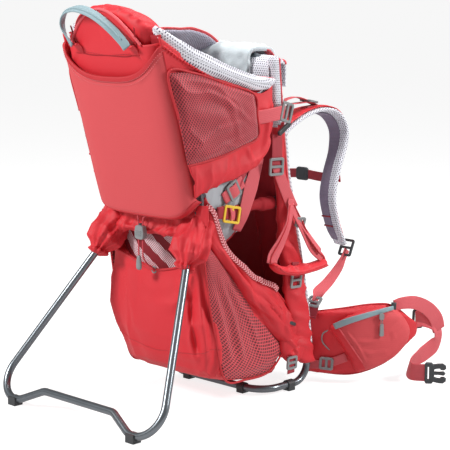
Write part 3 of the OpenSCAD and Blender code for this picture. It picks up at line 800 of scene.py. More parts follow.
def headrest():
    s = np.sin(np.linspace(-1, 1, 81) * math.pi / 2)[:, None]
    t = np.linspace(0, 1, 49)[None]
    p = back_sheet_point(s, t)
    n = grid_normals(p, REARWARD)
    p = wrinkle(p, 70, 1.6, 11, n)
    for side in (-1, 1):
        p = p + n * crease(p, [lean(side * 84, 0, 330), lean(side * 118, 0, 300)], 9, 2.2)[..., None]
    sheet("headrest_back", p, "red", 2.4, REARWARD)
    edge = p[:, -1] + n[:, -1] * 0.5
    arch = np.abs(edge[:, 0]) < ARCH_HALF + 2
    cord("headrest_piping", edge[arch], 2.8, "piping", count=90)
    seam = [lean(x, -3.6, lz) for x, lz in ((-92, 372), (-78, 322), (0, 316), (78, 322), (92, 372))]
    for k, (a, b) in enumerate(zip(seam[:-1], seam[1:])):
        stitches(f"headrest_seam_{k}", [a, b], REARWARD, "stitch_dark", pitch=4.2, radius=0.5)
    # A cord in the 'deep' red runs along the seam: painted shade in the seam's fold.
    cord("headrest_seam_fold", seam, 1.5, "deep", count=60)
    for side in (-1, 1):
        foot = [lean(side * 80, -4, 318), lean(side * 80, -6, 332), lean(side * 80, -14, 341),
                lean(side * 80, -20, 338)]
        strap(f"handle_tab_{side + 1}", foot, REARWARD, 22, "red", 2.2)

    u = np.linspace(0, 2 * math.pi, 84, endpoint=False)
    rings = []
    for ly, half, top, low in (
        (4, 60, 384, 340), (3, 88, 399, 326), (7, 100, 405, 318), (15, 107, 408, 316), (26, 113, 406, 318),
        (37, 117, 399, 322), (45, 115, 388, 328), (49, 104, 372, 336), (50, 68, 356, 344),
    ):
        c, si = np.cos(u), np.sin(u)
        x = half * np.sign(c) * np.abs(c) ** np.where(si > 0, 0.95, 0.5)
        rise = np.where(si > 0, top - 345, 345 - low)
        rings.append(lean(x, ly, 345 + rise * np.sign(si) * np.abs(si) ** 0.9))
    pillow = ring_solid("headrest_pillow", rings, "red", replaces=("headrest_pad",))
    gathers = [
        ([(122, 50, 340), (112, 30, 372), (98, 8, 372)], 8, 5.5),
        ([(112, 58, 374), (100, 34, 388), (82, 10, 384)], 7, 5.5),
        ([(100, 60, 388), (84, 36, 400), (62, 10, 396)], 7, 5.5),
        ([(76, 60, 400), (52, 36, 408), (34, 10, 402)], 8, 5.0),
        ([(40, 58, 406), (14, 34, 412), (-6, 10, 404)], 8, 4.5),
        ([(0, 58, 408), (-30, 34, 410), (-46, 10, 402)], 7, 2.8),
        ([(-60, 58, 402), (-84, 34, 398), (-92, 10, 384)], 7, 3.0),
    ]

    def shape(q, n):
        move = np.zeros(len(q))
        for line, width, depth in gathers:
            move += crease(q, [lean(x, ly * 0.6, lz) for x, ly, lz in line], width, depth)
        move += value_noise(q, 26, 5) * 1.6
        return n * move[:, None]

    puff(pillow, 5, 4, 9, shape)
    unwrap(pillow, lambda q: np.stack([q[:, 0], (q[:, 1] - q[:, 2]) * 0.7 + np.abs(q[:, 2]) * 0.7], -1))
    paint(pillow, "air", lambda c: (c - lean(0, 42, 352)) @ -REARWARD > 0)


def paint(made, look, test):
    """Gives the faces whose centres pass the test another look."""
    made.data.materials.append(LOOKS[look])
    slot = len(made.data.materials) - 1
    centres = np.zeros(len(made.data.polygons) * 3)
    made.data.polygons.foreach_get("center", centres)
    centres = centres.reshape(-1, 3) * 1000
    centres[:, 1] -= SHIFT
    index = np.zeros(len(made.data.polygons), int)
    made.data.polygons.foreach_get("material_index", index)
    made.data.polygons.foreach_set("material_index", np.where(test(centres), slot, index))


def seat_back():
    """Mesh-faced pad on the rear wall's inside, with its child's harness."""
    s = np.linspace(-1, 1, 41)[:, None]
    t = np.linspace(0, 1, 49)[None]
    fall = (1 - np.abs(s) ** 5) * (1 - np.abs(2 * t - 1) ** 8)
    channel = 1 - 0.35 * np.exp(-(((t - 0.33) / 0.02) ** 2)) - 0.35 * np.exp(-(((t - 0.66) / 0.02) ** 2))
    front = lean(112 * s, 33 + 17 * fall * channel, lerp(16, 350, t))
    rear = lean(112 * s, 31 + 0 * t, lerp(16, 350, t))
    closed("seat_back_pad", front, rear, "air", replaces=("seat_back_board", "cockpit_wire"))
    wall = lean(130 * s, 24 + 0 * t, lerp(2, 352, t))
    # The rear wall's inside is a sheet in the 'deep' red: painted shade inside the cockpit.
    sheet("rear_wall_inside", wall, "deep", 6, -REARWARD)
    for side in (-1, 1):
        x = side * 44
        strap(f"child_strap_{side + 1}", [lean(x, 53, 70), lean(x, 56, 150), lean(x, 55, 280)], -REARWARD,
              24, "web", 2)
        ladder_lock(f"child_buckle_{side + 1}", lean(x, 59, 158), (1, 0, 0),
                    lean(0, 0, 1) - lean(0, 0, 0), 32, 20)
        pad = [lean(side * 46, 55, 190), lean(side * 47, 60, 235), lean(side * 46, 57, 290)]
        strap(f"child_strap_pad_{side + 1}", pad, -REARWARD, 42, "fleece", [3, 11, 3], square=2.6)
    box_solid(
        "child_harness_clip", rounded(34, 26, 8), 8, "buckle",
        oriented(lean(0, 62, 150), (1, 0, 0), lean(0, 0, 1) - lean(0, 0, 0)), 2.2,
    )
    over = np.array([lean(-62, 58, 300), (-56, -206, 722), (-44, -169, 732), (-40, -128, 727),
                     (-40, -90, 722),
                     (-40, -52, 709), (-40, -22, 686), (-40, 2, 652), (-40, 4, 600)])
    face = unit(np.array([(0, 0.9, 0.4), (-0.3, 0.4, 0.8), (-0.6, 0.1, 0.8), (-0.7, 0.15, 0.7),
                          (-0.7, 0.35, 0.7),
                          (-0.65, 0.6, 0.6), (-0.5, 0.8, 0.4), (-0.3, 0.9, 0.2), (0, 1, 0)]))
    width = [40, 46, 50, 52, 52, 50, 48, 46, 44]
    # The bib's underside is the darkened air mesh: painted shade under the bib.
    strap("harness_bib_mesh", over - face * 2.5, face, width, "air_shaded", 10, square=3)
    strap("harness_bib_cloth", over + face * 5, face, np.array(width) + 5, "coral", 7, square=3)
    strap("child_chest_strap", [lean(-44, 58, 150), lean(0, 59, 150), lean(44, 58, 150)], -REARWARD,
          20, "web", 2,
          replaces=("child_harness",))


def closed(name, front, rear, look, **where):
    """A pad between two grids whose edges meet."""
    nu, nv = front.shape[:2]
    n = nu * nv
    index = np.arange(n).reshape(nu, nv)
    points = np.concatenate([front.reshape(-1, 3), rear.reshape(-1, 3)])
    uv = grid_uv(front).reshape(-1, 2)
    uv = np.concatenate([uv, uv + np.linalg.norm((front - rear)[0].mean(0))])
    outward = (front - rear).mean((0, 1))
    flip = np.cross(front[1, 0] - front[0, 0], front[0, 1] - front[0, 0]) @ outward < 0
    faces = []
    for i in range(nu - 1):
        for j in range(nv - 1):
            quad = [index[i, j], index[i + 1, j], index[i + 1, j + 1], index[i, j + 1]]
            faces.append(quad[::-1] if flip else quad)
            faces.append([q + n for q in (quad if flip else quad[::-1])])
    loop = [*index[:, 0], *index[-1, 1:], *index[-2::-1, -1], *index[0, -2:0:-1]]
    for a, b in zip(loop, loop[1:] + loop[:1]):
        quad = [a, a + n, b + n, b]
        faces.append(quad[::-1] if flip else quad)
    return piece(name, points, faces, look, uv=uv, **where)


# ---------------------------------------------------------------- cockpit sides and rim
HEM = [(-247, 430), (-197, 448), (-150, 459), (-106, 470), (-76, 490), (-58, 520)]
WALL_TOP = [(-338, 737), (-276, 698), (-170, 650), (-84, 622), (-40, 640)]
WALL_REAR = [(-247, 430), (-338, 737)]
WALL_FRONT = [(-58, 520), (-46, 562), (-40, 606), (-40, 640)]
WINDOW = {
    "bottom": [(-270, 494), (-200, 505), (-140, 521), (-92, 537)],
    "top": [(-318, 671), (-262, 669), (-180, 645), (-104, 621)],
    "left": [(-270, 494), (-294, 583), (-318, 671)],
    "right": [(-92, 537), (-96, 580), (-104, 621)],
}


def side_x(y, z):
    into = (y - REAR_FOOT[0]) * math.cos(LEAN) + (z - REAR_FOOT[1]) * math.sin(LEAN)
    bulge = 8 * np.exp(-(((y + 175) / 100) ** 2) - ((z - 575) / 85) ** 2)
    return 150 - 14 * np.exp(-np.maximum(into, 0) / 45) + bulge


def on_side(yz, out=0.0):
    yz = np.asarray(yz, float)
    return np.concatenate([(side_x(yz[..., 0], yz[..., 1]) + out)[..., None], yz], -1)


def cockpit_side():
    made = []
    yz = coons(HEM, WALL_TOP, WALL_REAR, WALL_FRONT, 97, 81)
    p = on_side(yz)
    b = np.linspace(0, 1, 81)[None]
    a = np.linspace(0, 1, 97)[:, None]
    hem = 7 * np.exp(-(((b - 0.1) / 0.08) ** 2)) - 5 * np.clip(1 - b / 0.06, 0, 1) ** 2
    front = -10 * np.clip((a - 0.95) / 0.05, 0, 1) ** 2
    p[..., 0] += hem + front
    n = grid_normals(p, (1, 0, 0))
    p = wrinkle(p, 60, 2.6, 21, n)
    low = smooth((0.3 - b) / 0.2)[..., None] + smooth((a - 0.78) / 0.1)[..., None]
    p = folds(p, (0, 0.25, 1), 22, 70, 3.0, 22, n * np.clip(low, 0.12, 1))
    for line, width, depth in (
        ([(-72, 610), (-60, 560), (-74, 506)], 9, 5.5),
        ([(-52, 612), (-50, 575), (-60, 535)], 7, 4.5),
        ([(-96, 470), (-112, 500), (-120, 524)], 8, 3.6),
        ([(-140, 462), (-150, 490), (-152, 512)], 8, 1.8),
        ([(-190, 452), (-196, 476), (-196, 498)], 9, 1.8),
        ([(-236, 434), (-240, 460), (-250, 486)], 8, 1.8),
        ([(-322, 704), (-250, 674), (-150, 640)], 7, 1.6),
    ):
        p = p + n * crease(p, on_side(line), width, depth)[..., None]
    made.append(sheet("cockpit_side_right", p, "red", 5, (1, 0, 0), replaces=("cockpit_shell",)))

    yz = coons(WINDOW["bottom"], WINDOW["top"], WINDOW["left"], WINDOW["right"], 73, 61)
    p = on_side(yz, 3.2)
    n = grid_normals(p, (1, 0, 0))
    border = np.minimum.outer(np.minimum(np.arange(73), np.arange(73)[::-1]), np.full(61, 99))
    border = np.minimum(border, np.minimum(np.arange(61), np.arange(61)[::-1])[None]) / 6
    soft = smooth(border)
    push = 7 * soft + value_noise(p, 48, 31) * 4.2 * soft + fold_height(p, (0, 1, -0.35), 30, 150,
                                                                        32) * 4 * soft
    for line, width, depth in (
        ([(-276, 520), (-210, 560), (-120, 575)], 9, 3.6),
        ([(-262, 500), (-190, 530), (-110, 548)], 8, 2.8),
        ([(-250, 640), (-170, 600), (-110, 560)], 8, 3.2),
        ([(-200, 640), (-160, 560), (-150, 530)], 9, 2.6),
    ):
        push = push + crease(p, on_side(line), width, depth)
    p = p + n * push[..., None]
    made.append(sheet("cockpit_net_right", p, "net", 2, (1, 0, 0)))
    edge = [*WINDOW["bottom"], *WINDOW["right"][1:], *WINDOW["top"][::-1][1:], *WINDOW["left"][::-1][1:-1]]
    made.append(cord("cockpit_net_binding_right", on_side(edge, 3.4), 2.4, "tape", count=160))
    top = curve(WALL_TOP, 60)[:50]
    bumps = [on_side(top + (0, -12), 3)[k] for k in range(2, 46)]
    made.append(stitches("rim_gathers_right", bumps, (1, 0, 0), "red", pitch=7.5, length=6.4,
                         radius=2.4, lift=0.4))
    return made


RIM = [(112, -328, 754), (126, -315, 736), (143, -272, 704), (149, -226, 683), (149, -170, 663),
       (149, -107, 645), (148, -64, 640), (146, -34, 644)]


def rim():
    made = []
    path = curve(RIM, 90)
    tangent = unit(np.gradient(path, axis=0))
    out = unit(np.cross(tangent, (0, 0, 1)))
    if out[40][0] < 0:
        out = -out
    up = np.cross(out, tangent)
    up *= np.sign(up[:, 2:])
    t = np.linspace(0, 1, 90)
    half_h = np.interp(t, [0, 0.06, 0.2, 0.4, 0.8, 0.93, 1], [5, 11, 17, 19, 15.5, 12, 3])
    half_w = np.interp(t, [0, 0.1, 0.9, 1], [5, 8, 8, 4])
    angle = np.linspace(0, 2 * np.pi, 36, endpoint=False)
    c = np.sign(np.cos(angle)) * np.abs(np.cos(angle)) ** 0.55
    s = np.sign(np.sin(angle)) * np.abs(np.sin(angle)) ** 0.7
    rings = path[:, None] + out[:, None] * (c[None, :, None] * half_w[:, None, None])
    rings = rings + up[:, None] * (s[None, :, None] * half_h[:, None, None])
    body = ring_solid("rim_pad_right", rings, "air", replaces=("rim_pad",))
    made.append(puff(body, 4.5, 3, 4))
    unwrap(body, rim_flat(path, tangent, up, out))
    inner = path - out * (half_w[:, None] * 0.72) + up * (half_h[:, None] * 0.86)
    made.append(cord("rim_piping_right", inner, 2.6, "piping", count=90))
    return made


def rim_flat(path, tangent, up, out):
    along = np.concatenate([[0], np.cumsum(np.linalg.norm(np.diff(path, axis=0), axis=1))])

    def flatten(q):
        near = np.array([np.argmin(((path - r) ** 2).sum(1)) for r in q])
        d = q - path[near]
        across = (d * up[near]).sum(1) + np.abs((d * out[near]).sum(1)) * np.sign((d * up[near]).sum(1))
        return np.stack([along[near] + (d * tangent[near]).sum(1), across], -1)

    return flatten


def cockpit_lining():
    """White mesh on the inside of a side wall."""
    yz = coons([(-232, 470), (-150, 490), (-76, 520), (-60, 545)], WALL_TOP, [(-232, 470), (-330, 737)],
               WALL_FRONT[1:], 61, 49)
    p = on_side(yz, -15)
    n = grid_normals(p, (-1, 0, 0))
    p = wrinkle(p, 50, 1.5, 41, n)
    return [sheet("cockpit_lining_right", p, "air", 3, (-1, 0, 0))]


def cockpit_webbing():
    """The strap round the cockpit's front corner, and its ladder lock."""
    made = []
    path = [(152, -104, 574), (158, -70, 577), (159, -40, 580), (156, -14, 582)]
    made.append(strap("cockpit_strap_right", path, (1, 0, 0), 27, "web", 2.2, replaces=("cockpit_straps",)))
    made.append(strap("cockpit_strap_end_right", [(157, -12, 582), (153, 4, 583), (146, 14, 584)],
                      (1, 0, 0), 24,
                      "web_dark", 2.2))
    made.append(ladder_lock("cockpit_buckle_right", (159, -13, 581), (0, 0.3, 1), (0, 1, -0.1), 38, 30,
                            replaces=("cockpit_buckles",)))
    box = box_solid("cockpit_slider_right", rounded(36, 7, 3), 6, "dark_plastic",
                    oriented((157, -18, 548), (0, 1, 0.62), (0, -0.62, 1)), 1.4)
    made.append(box)
    return made


# ---------------------------------------------------------------- back system
def back_system():
    s = np.linspace(-1, 1, 61)[:, None]
    z = np.linspace(90, 684, 97)[None]
    half = np.interp(z, [90, 200, 420, 600, 684], [140, 147, 146, 140, 120])
    x = half * np.sin(s * math.pi / 2)
    round_off = (1 - np.abs(x / half) ** 6) * (1 - np.abs((z - 387) / 297) ** 12)
    groove = 1 - 0.75 * np.exp(-((x / 26) ** 2))
    base = upright_y(z) + 0 * s
    front = np.stack([x, base + 20 + 15 * round_off * groove, z + 0 * s], -1)
    rear = np.stack([x, base + 13.5 + 0 * x, z + 0 * s], -1)
    made = closed("back_panel_pad", front, rear, "air", replaces=("back_panel",))
    z = np.linspace(50, 662, 80)[None]
    s = np.linspace(-1, 1, 61)[:, None]
    x = 134 * s + 0 * z
    inside = np.stack([x, upright_y(z) - 11 + 8 * np.abs(s) ** 4 + 0 * x, z + 0 * s], -1)
    n = grid_normals(inside, (0, -1, 0))
    inside = wrinkle(inside, 90, 5, 51, n)
    inside = folds(inside, (0.15, 0, 1), 50, 260, 3.0, 52, n)
    # The lining between the uprights, and the fold cords on it, are in the 'deep' red: the shade inside the
    # frame painted into the cloth.
    sheet("back_lining_cloth", inside, "deep", 2.4, (0, -1, 0), replaces=("back_lining", "back_board"))
    for x0 in (-62, 62):
        zs = np.linspace(110, 640, 60)
        line = np.stack([np.full(60, x0 + 0.0), upright_y(zs) - 14.5, zs], -1)
        stitches(f"lining_seam_{int(x0)}", line, (0, -1, 0), "stitch_dark", pitch=6)
        cord(f"lining_fold_{int(x0)}", line, 1.6, "deep", count=50)

    rings = []
    for w in np.linspace(-0.97, 0.97, 25):
        r = (1 - abs(w) ** 3) ** (1 / 3)
        u = np.linspace(0, 2 * math.pi, 48, endpoint=False)
        zz = 137 + 52 * r * np.sign(np.sin(u)) * np.abs(np.sin(u)) ** 0.8
        yy = upright_y(zz) + 46 + 9 * r * np.sign(np.cos(u)) * np.abs(np.cos(u)) ** 0.8
        rings.append(np.stack([np.full_like(u, 86 * w), yy, zz], -1))
    pad = ring_solid("lumbar_cushion", rings, "air", replaces=("lumbar_pad",))
    puff(pad, 5, 4, 5)
    unwrap(pad, lambda q: q[:, [0, 2]])


def chin_pad():
    """Fleece folded over the top of the back panel."""
    s = np.linspace(-1, 1, 61)[:, None]
    line = curve([(-55, 646), (-57, 680), (-50, 706), (-30, 717), (0, 716), (22, 710), (32, 694),
                  (31, 672)], 60)
    drop = -9 * np.abs(s) ** 3
    x = 90 * s + 0 * line[None, :, 0]
    p = np.stack([x, line[None, :, 0] + 0 * s,
                  line[None, :, 1] + drop * smooth((line[None, :, 1] - 640) / 60)], -1)
    n = grid_normals(p, (0, -0.3, 1))
    p = wrinkle(p, 40, 4.0, 61, n)
    p = wrinkle(p, 14, 2.0, 62, n)
    made = sheet("chin_pad_fleece", p, "fleece", 9, (0, -0.3, 1), replaces=("chin_pad",))
    s = np.linspace(-1, 1, 61)[:, None]
    over = curve([(-42, 630), (-44, 664), (-37, 686), (-24, 693), (-6, 690), (8, 676), (9, 630)], 40)
    x = 136 * np.sin(s * math.pi / 2) + 0 * over[None, :, 0]
    round_off = 16 * np.abs(s) ** 10 * smooth((over[None, :, 1] - 660) / 40)
    p = np.stack([x, over[None, :, 0] + 0 * s, over[None, :, 1] - round_off], -1)
    sheet("panel_top_cover", p, "air", 4, (0, -0.3, 1))
    cord("panel_top_piping", p[:, 26] + (0, 2, 1), 2.4, "piping", count=90)


def upright_cover():
    """Cloth sleeve over one upright, wide and soft low down, narrow high up."""
    made = []
    z = np.linspace(52, 688, 140)
    centre = np.stack([np.full_like(z, 137.0), upright_y(z) - 2, z], -1)
    deep = np.interp(z, [52, 66, 96, 200, 330, 420, 520, 688], [20, 24, 33, 29, 24, 16, 12, 11])
    wide = np.interp(z, [52, 90, 200, 330, 420, 520, 688], [13, 15, 13, 12, 11, 10.5, 10])
    shift = np.interp(z, [52, 90, 200, 330, 420, 688], [-4, -12, -9, -6, 0, 0])
    centre[:, 1] += shift
    u = np.linspace(0, 2 * math.pi, 40, endpoint=False)
    c = np.sign(np.cos(u)) * np.abs(np.cos(u)) ** 0.8
    s = np.sign(np.sin(u)) * np.abs(np.sin(u)) ** 0.8
    rings = centre[:, None] + np.stack([c[None] * wide[:, None], s[None] * deep[:, None],
                                        0 * c[None] * z[:, None]], -1)
    n = unit(rings - centre[:, None])
    low = smooth((520 - rings[..., 2]) / 160) * 0.8 + 0.2
    move = (value_noise(rings, 44, 71) * 4 + fold_height(rings, (0.3, 0.8, -0.7), 22, 70, 72) * 4.4) * low
    for zz in (96, 118, 152, 196, 262, 330, 392, 448, 540):
        line = [(150, upright_y(zz) - 40, zz + 14), (153, upright_y(zz) - 10, zz),
                (150, upright_y(zz) + 22, zz - 12)]
        move = move + crease(rings, line, 8, 4.0 if zz < 350 else 1.6)
    rings = rings + n * move[..., None]
    cover = ring_solid("upright_cover_right", rings, "red")
    paint(cover, "air", lambda c: c[:, 2] > 556 + 0.6 * (c[:, 1] + 20))
    made.append(cover)
    front_edge = np.stack([centre[:, 0] + wide * 0.8, centre[:, 1] + deep * 0.8, centre[:, 2]], -1)[70:]
    made.append(cord("upright_piping_right", front_edge, 2.2, "piping", count=90))
    webs = [(149, -30, 536), (153, -34, 512), (156, -38, 474), (154, -22, 446), (153, 2, 404), (150, 18, 382)]
    made.append(strap("side_adjust_strap_right", webs[:3], (1, -0.2, 0), 25, "web_dark", 2.4))
    made.append(strap("side_adjust_tail_right", webs[2:], (1, -0.25, 0.1), [23, 24, 26, 27], "web", 2.2))
    made.append(ladder_lock("side_adjust_buckle_right", (157, -40, 474), (0.2, 1, 0), (0.05, -0.12, 1), 33,
                            34, "buckle"))
    made.append(strap("cover_tab_right", [(152, 24, 272), (155, 22, 254), (155, 20, 240)], (1, 0, 0), 21,
                      "web_dark", 2.2))
    made.append(ladder_lock("side_buckle_right", (157, 21, 236), (0, 1, -0.05), (0.1, 0.05, 1), 30,
                            32, "buckle"))
    made.append(strap("lower_tab_right", [(153, -6, 152), (156, 8, 148), (154, 22, 142)], (1, 0, 0), 7,
                      "dark_plastic", 3))
    return made


# ---------------------------------------------------------------- child seat
def child_seat():
    """Grey cloth trough hung over the seat arms, its webbing and its height adjusters."""
    parts = []
    s = np.linspace(-1, 1, 57)[:, None]
    line = curve([(-196, 424), (-182, 360), (-144, 324), (-120, 317), (-92, 324), (-66, 350), (-52, 404)], 60)
    x = 96 * s + 0 * line[None, :, 0]
    rise = 16 * np.abs(s) ** 3 * np.ones_like(line[None, :, 0])
    p = np.stack([x, line[None, :, 0] + 0 * s, line[None, :, 1] + rise], -1)
    n = grid_normals(p, (0, 0, -1))
    p = folds(p, (1, 0.3, 0), 26, 120, 3.0, 81, n)
    trough = sheet("seat_trough", p, "satin", 5, (0, 0, -1), body=None, replaces=("seat_saddle",))
    parts.append(trough)
    wing = coons([(-172, 340), (-142, 318), (-116, 338)], [(-222, 456), (-150, 466), (-92, 484)],
                 [(-172, 340), (-200, 398), (-222, 456)], [(-116, 338), (-104, 410), (-92, 484)], 49, 49)
    b = np.linspace(0, 1, 49)[None]
    x = np.interp(wing[..., 1], [318, 350, 384, 410, 470], [96, 114, 126, 130, 129])
    q = np.concatenate([x[..., None], wing], -1)
    n = grid_normals(q, (1, 0, 0))
    q = folds(q, (0, 0.35, 1), 20, 110, 3.4, 83, n * smooth(b / 0.1)[..., None])
    edge_line = np.concatenate([q[0, ::-1], q[:, 0], q[-1]])
    for side, name in ((1, "right"), (-1, "left")):
        turn = np.array([side, 1, 1])
        parts.append(sheet(f"seat_side_{name}", q * turn, "satin", 3, (side, 0, 0), body=None))
        parts.append(cord(f"seat_edge_{name}", edge_line[30:-30:3] * turn, 1.8, "tape", count=100, body=None))
        wide = [(134, -66, 494), (135, -84, 452), (136, -100, 414), (134, -112, 380), (122, -118, 350)]
        parts.append(strap(f"seat_strap_{name}", np.array(wide) * turn, (side, -0.2, 0),
                           [24, 27, 30, 32, 20], "web", 2.4,
                           body=None))
        up = [(133, -104, 478), (134, -128, 446), (134, -146, 420)]
        parts.append(strap(f"seat_hanger_{name}", np.array(up) * turn, (side, -0.2, 0), 20, "web_dark",
                           2.2, body=None))
    for made in parts:
        metres((0, -120, 478))
        metres((0, -120, 412))
        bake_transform(made)
    for side, name in ((1, "right"), (-1, "left")):
        turn = np.array([side, 1, 1])
        where = dict(body="child_seat")
        ladder_lock(f"seat_lock_{name}", np.array((137, -140, 434)) * turn, (0, -0.5, 0.85), (0, 0.85, 0.5),
                    34, 30, **where)
        loop = [(134.4, -166, 419), (135.4, -154, 426), (141, -140, 434), (135.4, -126, 442),
                (134.4, -112, 450)]
        strap(f"seat_lock_web_{name}", np.array(loop) * turn, (side, 0, 0), 25, "web", 2.2, **where)
        cross = [(136, -186, 394), (138, -168, 393), (138, -146, 388), (136, -120, 382)]
        strap(f"seat_cross_web_{name}", np.array(cross) * turn, (side, 0.1, 0), 24, "web_dark", 2.4, **where)
        ladder_lock(f"seat_adjuster_{name}", np.array((141, -150, 388)) * turn, (0, 0.2, 1),
                    (0.1 * side, 1, -0.2), 33, 40,
                    "yellow", replaces=("seat_adjuster",) if side > 0 else (), **where)
        bar = [(140, -148, 375), (143, -149, 388), (140, -150, 401)]
        strap(f"seat_adjuster_web_{name}", np.array(bar) * turn, (side, 0.2, 0), 14, "web", 3.4, **where)


def seat_arm_covers():
    """Cloth sleeves over the seat arms, under the cockpit's hem."""
    made = []
    y = np.linspace(-222, -18, 80)
    u = np.linspace(0, 2 * math.pi, 32, endpoint=False)
    r = (9.8 + 3.6 * smooth((y + 58) / 10))[:, None]
    rings = np.stack([122 + r * np.cos(u), y[:, None] + 0 * u, 396 + r * np.sin(u)], -1)
    n = unit(rings - rings.mean(1, keepdims=True))
    rings = folds(rings, (0.4, 0.2, 1), 15, 40, 1.0, 88, n)
    # The sleeves use the 'deep' red: painted shade under the cockpit's hem.
    made.append(ring_solid("seat_arm_cover_right", rings, "deep"))
    return made


# ---------------------------------------------------------------- storage bag
def bag_section(z):
    rear = np.interp(z, [36, 40, 48, 60, 78, 100, 140, 200, 262, 345],
                     [-60, -112, -160, -192, -213, -222, -229, -229, -225, -230])
    front = np.interp(z, [36, 40, 48, 60, 100, 200, 262, 345], [-8, 6, 11, 13, 9, 2, -4, -40])
    half = np.interp(z, [36, 40, 48, 60, 100, 160, 262, 345], [104, 120, 128, 133, 136, 138, 134, 132])
    corner = np.interp(z, [36, 60, 90, 130, 160], [0.50, 0.42, 0.34, 0.28, 0.24])
    return rear, front, half, corner


def bag_point(u, z, inset=0.0):
    rear, front, half, corner = bag_section(z)
    c, s = np.cos(u), np.sin(u)
    power = np.where(s < 0, corner, 0.3)
    x = (half - inset) * np.sign(c) * np.abs(c) ** power
    y = (rear + front) / 2 + ((front - rear) / 2 - inset) * np.sign(s) * np.abs(s) ** power
    return x, y


def storage_bag():
    u = np.linspace(0, 2 * math.pi, 220, endpoint=False)
    u = u + 0.12 * np.sin(4 * u + math.pi)
    x0, y0 = bag_point(u, 262.0)
    side = np.interp(y0, [-229, -172, -122, -41, 4], [352, 312, 276, 226, 190])
    back = 270 + 34 * (np.abs(x0) / 120) ** 1.6
    top = lerp(side, back, smooth((-200 - y0) / 22))
    outer = []
    for v in np.linspace(0, 1, 64):
        z = 36 + (top - 36) * v**1.25
        x, y = bag_point(u, z)
        outer.append(np.stack([x, y, z], -1))
    outer = np.array(outer)
    centre = outer.mean(1, keepdims=True)
    n = unit(outer - centre)
    edge = (smooth((np.linspace(0, 1, 64)) / 0.1))[:, None]
    rear_face = smooth((-150 - outer[..., 1]) / 40)
    corner = np.exp(-(((np.abs(outer[..., 0]) - 118) / 26) ** 2)) * rear_face * edge
    move = (value_noise(outer, 100, 91) * 6 * edge
            + fold_height(outer, (0.12, 0, 1), 24, 240, 93) * 7 * corner
            + fold_height(outer, (0.35, 0, 1), 46, 190, 92) * (1.6 + 3.4 * rear_face))
    for line, width, depth in (
        ([(112, -226, 318), (124, -224, 220), (131, -206, 84)], 11, 11),
        ([(92, -226, 296), (104, -226, 200), (120, -220, 96)], 9, -8),
        ([(134, -214, 330), (136, -200, 220), (134, -176, 84)], 9, 8),
        ([(104, -226, 280), (88, -228, 236), (40, -228, 190)], 14, 4.5),
        ([(-96, -226, 286), (-70, -228, 220), (-50, -226, 120)], 20, 4),
        ([(-10, -226, 262), (30, -228, 200), (86, -226, 150)], 22, 3.5),
        ([(-118, -222, 300), (-126, -222, 200), (-126, -206, 96)], 10, 5),
        ([(60, -226, 262), (84, -228, 226), (120, -224, 208)], 9, 4),
        ([(134, -180, 270), (134, -150, 180), (130, -150, 70)], 10, 5),
        ([(40, -226, 120), (90, -220, 108), (128, -190, 130)], 16, 3),
    ):
        move = move + crease(outer, line, width, depth)
    outer = outer + n * move[..., None]
    inner = []
    for z_share in (1.0, 0.8, 0.5, 0.3):
        z = lerp(90.0, top, z_share)
        x, y = bag_point(u, z, 16)
        inner.append(np.stack([x, y, z], -1))
    made = ring_solid("storage_bag_body", np.concatenate([outer, inner]), "red", replaces=("storage_bag",))
    # The inner walls below the bag's mouth get the 'deep' red: painted shade inside the bag.
    made.data.materials.append(LOOKS["deep"])
    index = np.zeros(len(made.data.polygons), int)
    index[len(u) * 64 : len(u) * 67] = 1
    made.data.polygons.foreach_set("material_index", index)
    lip = outer[-1][(u > math.pi * 1.02) & (u < math.pi * 1.98)]
    cord("bag_lip", lip + (0, -0.5, 0), 2.2, "tape", count=120)
    seam = outer[24][(u > math.pi) & (u < math.pi * 2)]
    cord("bag_bottom_seam", seam + (0, 0.2, 0), 1.1, "tape", count=160)


